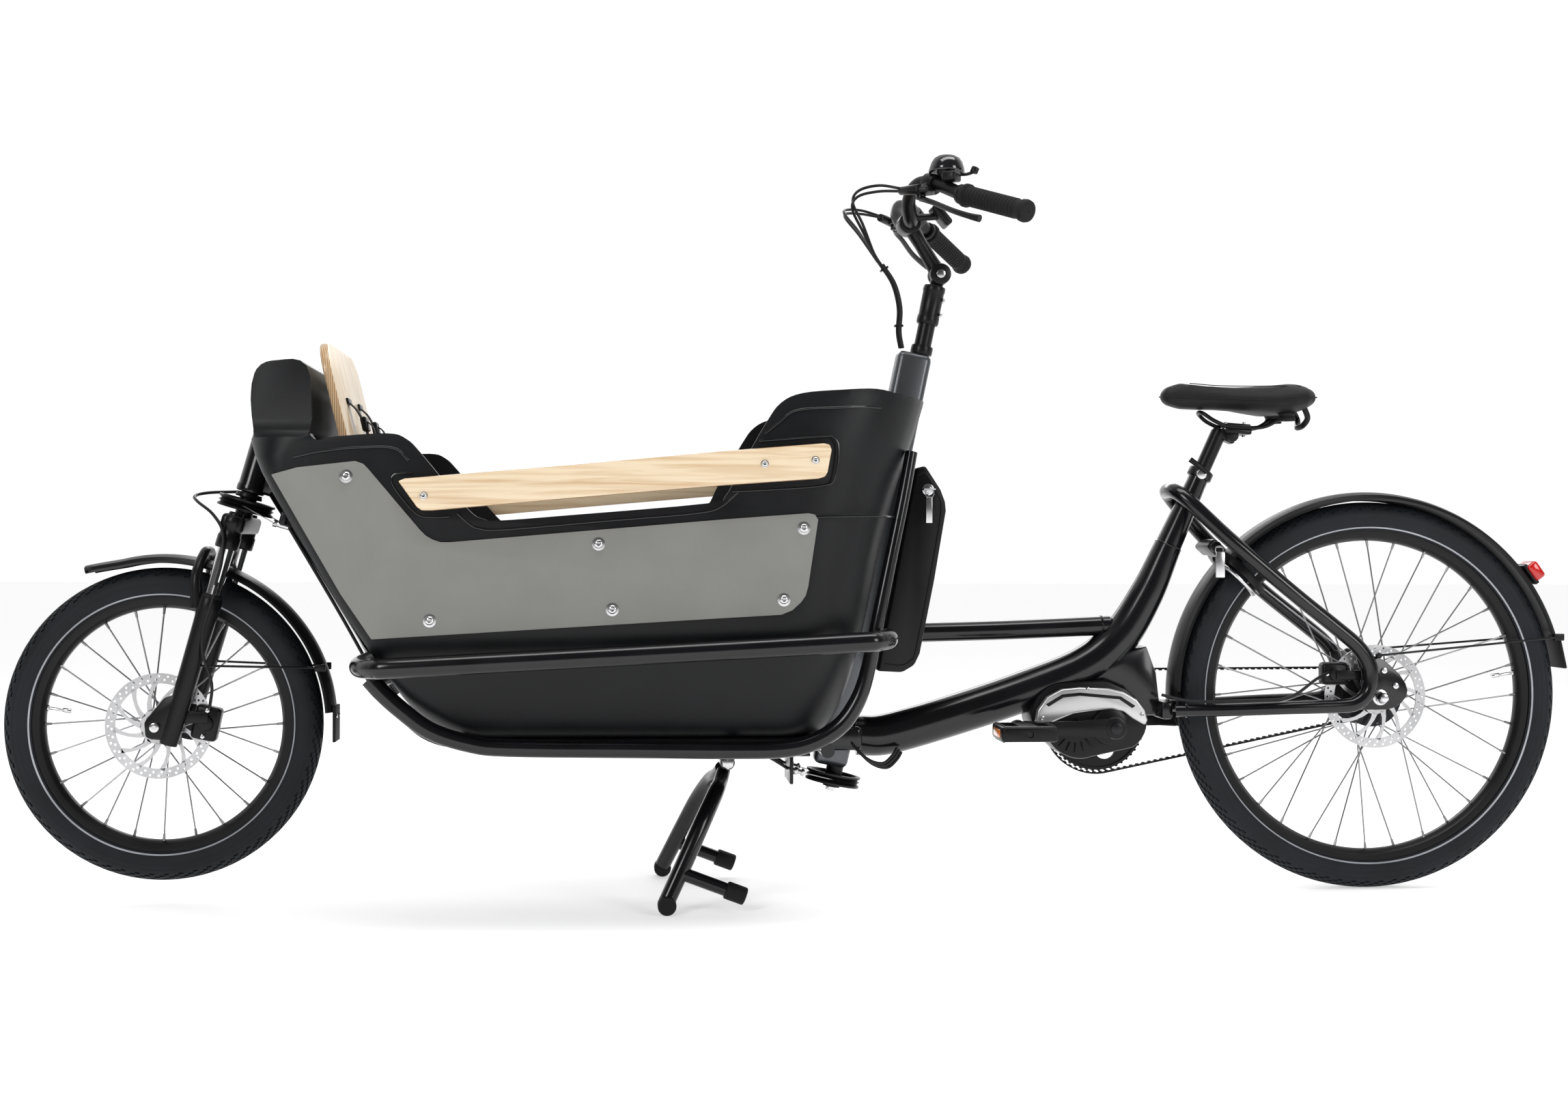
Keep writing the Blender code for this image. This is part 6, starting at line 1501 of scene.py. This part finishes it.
# %% Grips and levers
LEVER_PIVOT = spot(0.164, 0.156, 1.156)
for word, side in (("left", -1), ("right", 1)):
    start, end = both([GRIP_START], side)[0], both([GRIP_END], side)[0]
    along = (end - start).normalized()
    length = (end - start).length
    rows = [(0.0113, 0), (0.018, 0), (0.019, 0.0015), (0.019, 0.007), (0.0168, 0.0085)]
    for k in range(15):
        foot = 0.01 + 0.0072 * k
        rows += [(0.0152, foot), (0.0164, foot + 0.0014), (0.0164, foot + 0.0044), (0.0152, foot + 0.0058)]
    rows += [(0.016, length - 0.015), (0.0176, length - 0.012), (0.0184, length - 0.006),
        (0.017, length - 0.0008), (0.012, length + 0.0006), (0.001, length + 0.0008),
        (0.001, length - 0.0052), (0.0113, length - 0.0052)]
    finished(turned(rows, start, along, 48), "hand_grip_" + word, GRIP_RUBBER, "steering", ["grip_" + word])
    rings = turned([(0.0118, -0.011), (0.0155, -0.011), (0.0162, -0.0095), (0.0162, -0.002),
        (0.0155, -0.0006), (0.0118, -0.0006)], start, along, 44)
    pivot = both([LEVER_PIVOT], side)[0]
    on_bar = both([(0.185, 0.131, 1.1785)], side)[0]
    bracket = together(rings, rod(on_bar + along * -0.011, on_bar + along * 0.011, 0.0165, sides=36,
        edge=0.0015), block(pivot + spot(0.004, side * -0.004, 0.007), (0.03, 0.034, 0.012), turn=side * 30,
        edge=0.004), rod(pivot + spot(0.002, side * -0.006, 0.006), on_bar, 0.009, sides=24),
        rod(pivot + spot(-0.004, side * 0.01, 0.007), pivot + spot(-0.03, side * -0.024, 0.01), 0.0085, 0.007,
        sides=28, edge=0.0015))
    finished(bracket, "lever_bracket_" + word, SATIN_BLACK, "steering")
    blade_route = both([LEVER_PIVOT + spot(0, 0, -0.006), (0.17, 0.174, 1.144), (0.182, 0.192, 1.136),
        (0.205, 0.23, 1.118), (0.226, 0.256, 1.106), (0.24, 0.27, 1.1)], side)
    blade = together(bent(blade_route, 1, radii=[0.0052, 0.0046, 0.0044, 0.0046, 0.005, 0.006], sides=20),
        rod(pivot + spot(0, 0, -0.008), pivot + spot(0, 0, 0), 0.008, sides=28, edge=0.001))
    finished(blade, "brake_blade_" + word, ANODISED, "brake_lever_" + word + "_body", ["brake_lever_" + word])
    pin = together(rod(pivot + spot(0, 0, -0.009), pivot + spot(0, 0, -0.0075), 0.004, sides=24),
        rod(pivot + spot(0, 0, 0.0125), pivot + spot(0, 0, 0.014), 0.004, sides=24, edge=0.0003))
    finished(pin, "lever_pin_" + word, BRIGHT_STEEL, "steering")
display = together(block((0.213, -0.048, 1.14), (0.013, 0.05, 0.042), tilt=-40, edge=0.004),
    rod((0.162, -0.04, 1.137), (0.213, -0.045, 1.14), 0.006, sides=20))
finished(display, "display_case", SATIN_BLACK, "steering")
face_out = leaning(50)
finished(block(spot(0.213, -0.048, 1.14) + face_out * 0.0066, (0.001, 0.043, 0.035), tilt=-40, edge=0.0004),
    "display_glass", GLOSS_BLACK, "steering")
shifter = together(rod((0.193, 0.146, 1.174), (0.208, 0.166, 1.166), 0.0185, 0.017, sides=36, edge=0.002),
    block((0.18, 0.142, 1.161), (0.026, 0.024, 0.018), edge=0.004))
finished(shifter, "gear_shifter", SATIN_BLACK, "steering")
button_pod = block((0.211, -0.172, 1.183), (0.024, 0.028, 0.016), turn=-35, edge=0.004)
finished(button_pod, "assist_buttons", SATIN_BLACK, "steering")
print("cockpit made")

# %% Bell
bell_at = spot(0.208, -0.142, 1.1965)
dome = [(0.001, 0.0006), (0.028, 0.0006), (0.029, -0.0004), (0.0296, 0.001), (0.0292, 0.006), (0.027, 0.014),
    (0.023, 0.021), (0.017, 0.0255), (0.009, 0.028), (0.001, 0.0285)]
finished(turned(dome, bell_at, (0, 0, 1), 72), "bell_dome", GLOSS_BLACK, "steering", ["bell"])
foot = together(rod(bell_at + spot(0, 0, -0.012), bell_at + spot(0, 0, 0.0005), 0.012, 0.016, sides=36),
    rod(bell_at + spot(-0.02, 0.013, -0.014), bell_at + spot(0.006, -0.004, -0.01), 0.006, sides=20))
finished(foot, "bell_foot", SATIN_BLACK, "steering")
thumb = together(bent([bell_at + spot(0.015, -0.01, -0.005), bell_at + spot(0.03, -0.02, -0.007),
    bell_at + spot(0.044, -0.024, -0.002)], 1, radii=[0.0034, 0.0026, 0.003], sides=16),
    rod(bell_at + spot(0.04, -0.024, -0.006), bell_at + spot(0.044, -0.024, 0.004), 0.0065, sides=24,
    edge=0.002))
finished(thumb, "bell_thumb", SATIN_BLACK, "bell_lever_body", ["bell_lever"])
print("bell made")

# %% [markdown]
# ## Hoses and wires
# Four lines loop forward from the bar, gather in front of the stem and run down beside the column. They
# are tied at both ends and along the way, so they're bent as fixed hoses that turn with the bar.

# %% Cockpit hoses
loom = [(0.154, 0, 0.9225), (0.149, -0.004, 0.95), (0.15, -0.006, 0.99), (0.14, -0.006, 1.03),
    (0.119, -0.006, 1.063)]
hoses = [bent([(x + dx, y + dy, z) for x, y, z in loom], 0.0024, sides=12) for dx, dy in ((-0.0028, -0.0022),
    (0.0028, -0.0022), (-0.0006, 0.003), (0.0008, -0.006))]
for side in SIDES:
    for k, (dy, dz) in enumerate(((0, 0), (0.01, 0.008))):
        route = [(0.119, side * (0.002 + 0.002 * k), 1.063), (0.106, side * 0.008, 1.082),
            (0.084, side * (0.024 + dy), 1.118 + dz), (0.064, side * (0.05 + dy), 1.15 + dz),
            (0.07, side * (0.085 + dy), 1.164 + dz), (0.1, side * (0.112 + dy), 1.168 + dz),
            (0.134, side * (0.13 + 0.006 * k), 1.166 + 0.4 * dz)]
        hoses.append(bent(route, 0.0024, sides=12))
finished(together(*hoses), "cockpit_hoses", CABLE_SKIN, "steering", ["control_cables"])
ties = [block((0.149, -0.0045, 0.96), (0.015, 0.015, 0.004), edge=0.0015), block((0.124, -0.004, 1.056),
    (0.015, 0.015, 0.004), tilt=-30, edge=0.0015)]
finished(together(*ties), "hose_ties", SATIN_BLACK, "steering")

# %% Steering wires under the tub
WIRE_Y = 0.044
guide = together(block((-0.035, 0, 0.215), (0.006, 0.116, 0.05), edge=0.0015), block((-0.02, 0, 0.237),
    (0.036, 0.08, 0.005), edge=0.0012))
finished(guide, "wire_guide", ANODISED)
housings, adjusters, wires = [], [], []
for side in SIDES:
    route = [(-0.8595, WIRE_Y, 0.613), (-0.838, 0.038, 0.575), (-0.775, 0.03, 0.465), (-0.712, 0.03, 0.352),
        (-0.67, 0.03, 0.29), (-0.61, 0.032, 0.256), (-0.5, 0.04, 0.25), (-0.3, 0.062, 0.248),
        (-0.16, 0.076, 0.248), (-0.09, 0.068, 0.243), (-0.038, WIRE_Y, 0.214)]
    housings.append(bent(both(route, side), 0.0028, sides=14))
    y = side * WIRE_Y
    adjusters.append(rod((-0.041, y, 0.2138), (-0.012, y, 0.2075), 0.0044, sides=20, edge=0.0006))
    adjusters.append(rod((-0.03, y, 0.2114), (-0.024, y, 0.2101), 0.0066, sides=6, edge=0.0005))
    adjusters.append(rod((-0.018, y, 0.2088), (-0.0135, y, 0.2078), 0.0066, sides=6, edge=0.0005))
    wires.append(rod((-0.013, y, 0.2077), on_column(-0.755, y), 0.0009, sides=8))
    wires.append(rod((-0.884, y, 0.6209), on_fork(-0.01, y), 0.0009, sides=8))
finished(together(*housings), "wire_housings", CABLE_SKIN, "frame", ["steering_cables"])
finished(together(*adjusters), "wire_adjusters", BRIGHT_STEEL)
finished(together(*wires), "steering_wires", BRUSHED)
loom_low = [(0.055, -0.03, 0.278), (0.072, -0.048, 0.25), (0.094, -0.056, 0.23), (0.118, -0.054, 0.224),
    (0.135, -0.046, 0.236), (0.144, -0.038, 0.248)]
loops = [bent([(x + k * 0.004, y + k * 0.003, z - k * 0.004) for x, y, z in loom_low], 0.0026,
    sides=12) for k in range(3)]
finished(together(*loops), "battery_loom", CABLE_SKIN)
rear_hose = [(0.88, -0.06, 0.376), (0.85, -0.078, 0.364), (0.8, -0.086, 0.334), (0.73, -0.084, 0.329),
    (0.64, -0.068, 0.327), (0.595, -0.042, 0.336)]
finished(bent(rear_hose, 0.0026, sides=12), "rear_brake_hose", CABLE_SKIN)
print("lines made")

# %% [markdown]
# ## Saddle and post
# The cover is a padded shell: a loft gives its outline, the voxel remesh makes an even skin, and cloth
# under a little pressure swells it over its foam, by no more than a set amount. Seams finish it.

# %% Saddle pad
saddle_rows = ((0.601, 0.007, 0.842, 0.85), (0.6045, 0.014, 0.836, 0.857), (0.612, 0.0195, 0.831, 0.862),
    (0.635, 0.023, 0.8255, 0.866), (0.665, 0.026, 0.8245, 0.864), (0.695, 0.0315, 0.8245, 0.8615),
    (0.725, 0.045, 0.823, 0.8595), (0.755, 0.063, 0.819, 0.86), (0.785, 0.076, 0.815, 0.862),
    (0.815, 0.0825, 0.816, 0.865), (0.84, 0.078, 0.821, 0.864), (0.856, 0.062, 0.828, 0.859),
    (0.862, 0.042, 0.836, 0.852))
pad_rings = []
for x, width, low, high in saddle_rows:
    ring = []
    for i in range(36):
        a = math.tau * i / 36
        across, rise = math.cos(a), math.sin(a)
        level = 0.62 * low + 0.38 * high
        dip = 0.0035 * math.exp(-(across * width / 0.009) ** 2) if rise > 0 and x > 0.64 else 0
        tall = (high - level) if rise > 0 else (level - low)
        ring.append((x, width * math.copysign(abs(across) ** 0.8, across),
            level + tall * math.copysign(abs(rise) ** 0.9, rise) - dip))
    pad_rings.append(ring)
pad = lofted(pad_rings)
choose(pad)
skin = pad.modifiers.new("even_skin", "REMESH")
skin.mode = "VOXEL"
skin.voxel_size = 0.0045
bpy.ops.object.modifier_apply(modifier="even_skin")
resting = [v.co.copy() for v in pad.data.vertices]
foam = pad.modifiers.new("foam", "CLOTH")
foam.settings.use_pressure = True
foam.settings.uniform_pressure_force = 4
foam.settings.tension_stiffness = 60
foam.settings.compression_stiffness = 60
foam.settings.effector_weights.gravity = 0
SETTLING_FRAMES = 20
foam.point_cache.frame_start, foam.point_cache.frame_end = 1, SETTLING_FRAMES
for step in range(1, SETTLING_FRAMES + 1):
    bpy.context.scene.frame_set(step)
choose(pad)
bpy.ops.object.modifier_apply(modifier="foam")
bpy.context.scene.frame_set(1)
MOST_SWELL = 0.0022
moved = 0
for corner, rest in zip(pad.data.vertices, resting):
    shift = corner.co - rest
    if shift.length > MOST_SWELL:
        corner.co = rest + shift * (MOST_SWELL / shift.length)
    moved = max(moved, (corner.co - rest).length)
soft = pad.modifiers.new("soft", "SUBSURF")
soft.levels = soft.render_levels = 1
bpy.ops.object.modifier_apply(modifier="soft")
finished(pad, "saddle_pad", SADDLE_LEATHER, "seat", ["saddle"], angle=60)
print("the foam swelled", round(moved * 1000, 1), "mm at most")

# %% Seams, shell and rear loop
seams = []
for side in SIDES:
    seam = [(x, side * width * 0.985, 0.62 * low + 0.38 * high + 0.001)
        for x, width, low, high in saddle_rows[1:-1]]
    seams.append(bent(seam, 0.0011, sides=8))
    inner = [(0.65, side * 0.012, 0.8668), (0.7, side * 0.018, 0.8628), (0.75, side * 0.04, 0.8606),
        (0.79, side * 0.052, 0.8605), (0.83, side * 0.054, 0.86)]
    seams.append(bent(inner, 0.0008, sides=8))
finished(together(*seams), "saddle_seams", RUBBER, "seat")
loop = [(0.845, -0.03, 0.825), (0.852, -0.026, 0.808), (0.848, -0.014, 0.796), (0.844, 0, 0.793),
    (0.848, 0.014, 0.796), (0.852, 0.026, 0.808), (0.845, 0.03, 0.825)]
finished(bent(loop, 0.005, sides=18), "saddle_loop", SATIN_BLACK, "seat")
springs = [turned([(0.006, 0), (0.014, 0), (0.015, 0.004), (0.013, 0.008), (0.015, 0.012), (0.013, 0.016),
    (0.006, 0.018)], (0.812, side * 0.036, 0.802), (0, 0, 1), 36) for side in SIDES]
finished(together(*springs), "saddle_bumpers", RUBBER, "seat")

# %% Post, rails and clamp
rail_half = [(0.805, 0.03, 0.808), (0.78, 0.024, 0.794), (0.75, 0.022, 0.7905), (0.715, 0.022, 0.793),
    (0.69, 0.021, 0.803), (0.674, 0.014, 0.815)]
rails = bent(both(rail_half, -1) + [spot(0.67, 0, 0.818)] + both(rail_half, 1)[::-1], 0.0035, sides=18)
finished(rails, "saddle_rails", SATIN_BLACK, "seat")
head = together(rod(on(SEAT_POINT, SEAT_UP, 0.06), on(SEAT_POINT, SEAT_UP, 0.076), 0.0136, 0.011, sides=32),
    block((0.732, 0, 0.785), (0.046, 0.054, 0.009), tilt=4, edge=0.003), block((0.732, 0, 0.795),
    (0.042, 0.054, 0.006), tilt=4, edge=0.002), rod((0.724, -0.017, 0.778), (0.724, 0.017, 0.778), 0.011,
    sides=32, edge=0.001), block((0.718, 0, 0.778), (0.03, 0.026, 0.02), tilt=SEAT_TILT, edge=0.004))
finished(together(rod(on(SEAT_POINT, SEAT_UP, -0.125), on(SEAT_POINT, SEAT_UP, 0.07), 0.0136, sides=40),
    head), "saddle_post", SATIN_BLACK, "seat", ["seat_post"])
bolts = [rod((x, 0, 0.776), (x + 0.0008, 0, 0.802), 0.0028, sides=16) for x in (0.716, 0.748)]
finished(together(*bolts), "saddle_bolts", BRIGHT_STEEL, "seat")
lever_route = [(0.675, -0.027, 0.715), (0.662, -0.032, 0.724), (0.646, -0.03, 0.736)]
finished(bent(lever_route, 1, radii=[0.0052, 0.0042, 0.0048], sides=20), "seat_quick_lever", SATIN_BLACK,
    "seat_clamp", ["seat_clamp_lever"])
clamp_bolt = together(rod((0.668, -0.0245, 0.711), (0.668, 0.0245, 0.711), 0.004, sides=20),
    rod((0.668, 0.0215, 0.711), (0.668, 0.0265, 0.711), 0.0075, sides=24, edge=0.001),
    rod((0.668, -0.0265, 0.711), (0.668, -0.0215, 0.711), 0.0085, sides=24, edge=0.001))
finished(clamp_bolt, "seat_clamp_bolt", BRIGHT_STEEL)
print("saddle done")

# %% Piece count
print("pieces:", len(made_pieces))
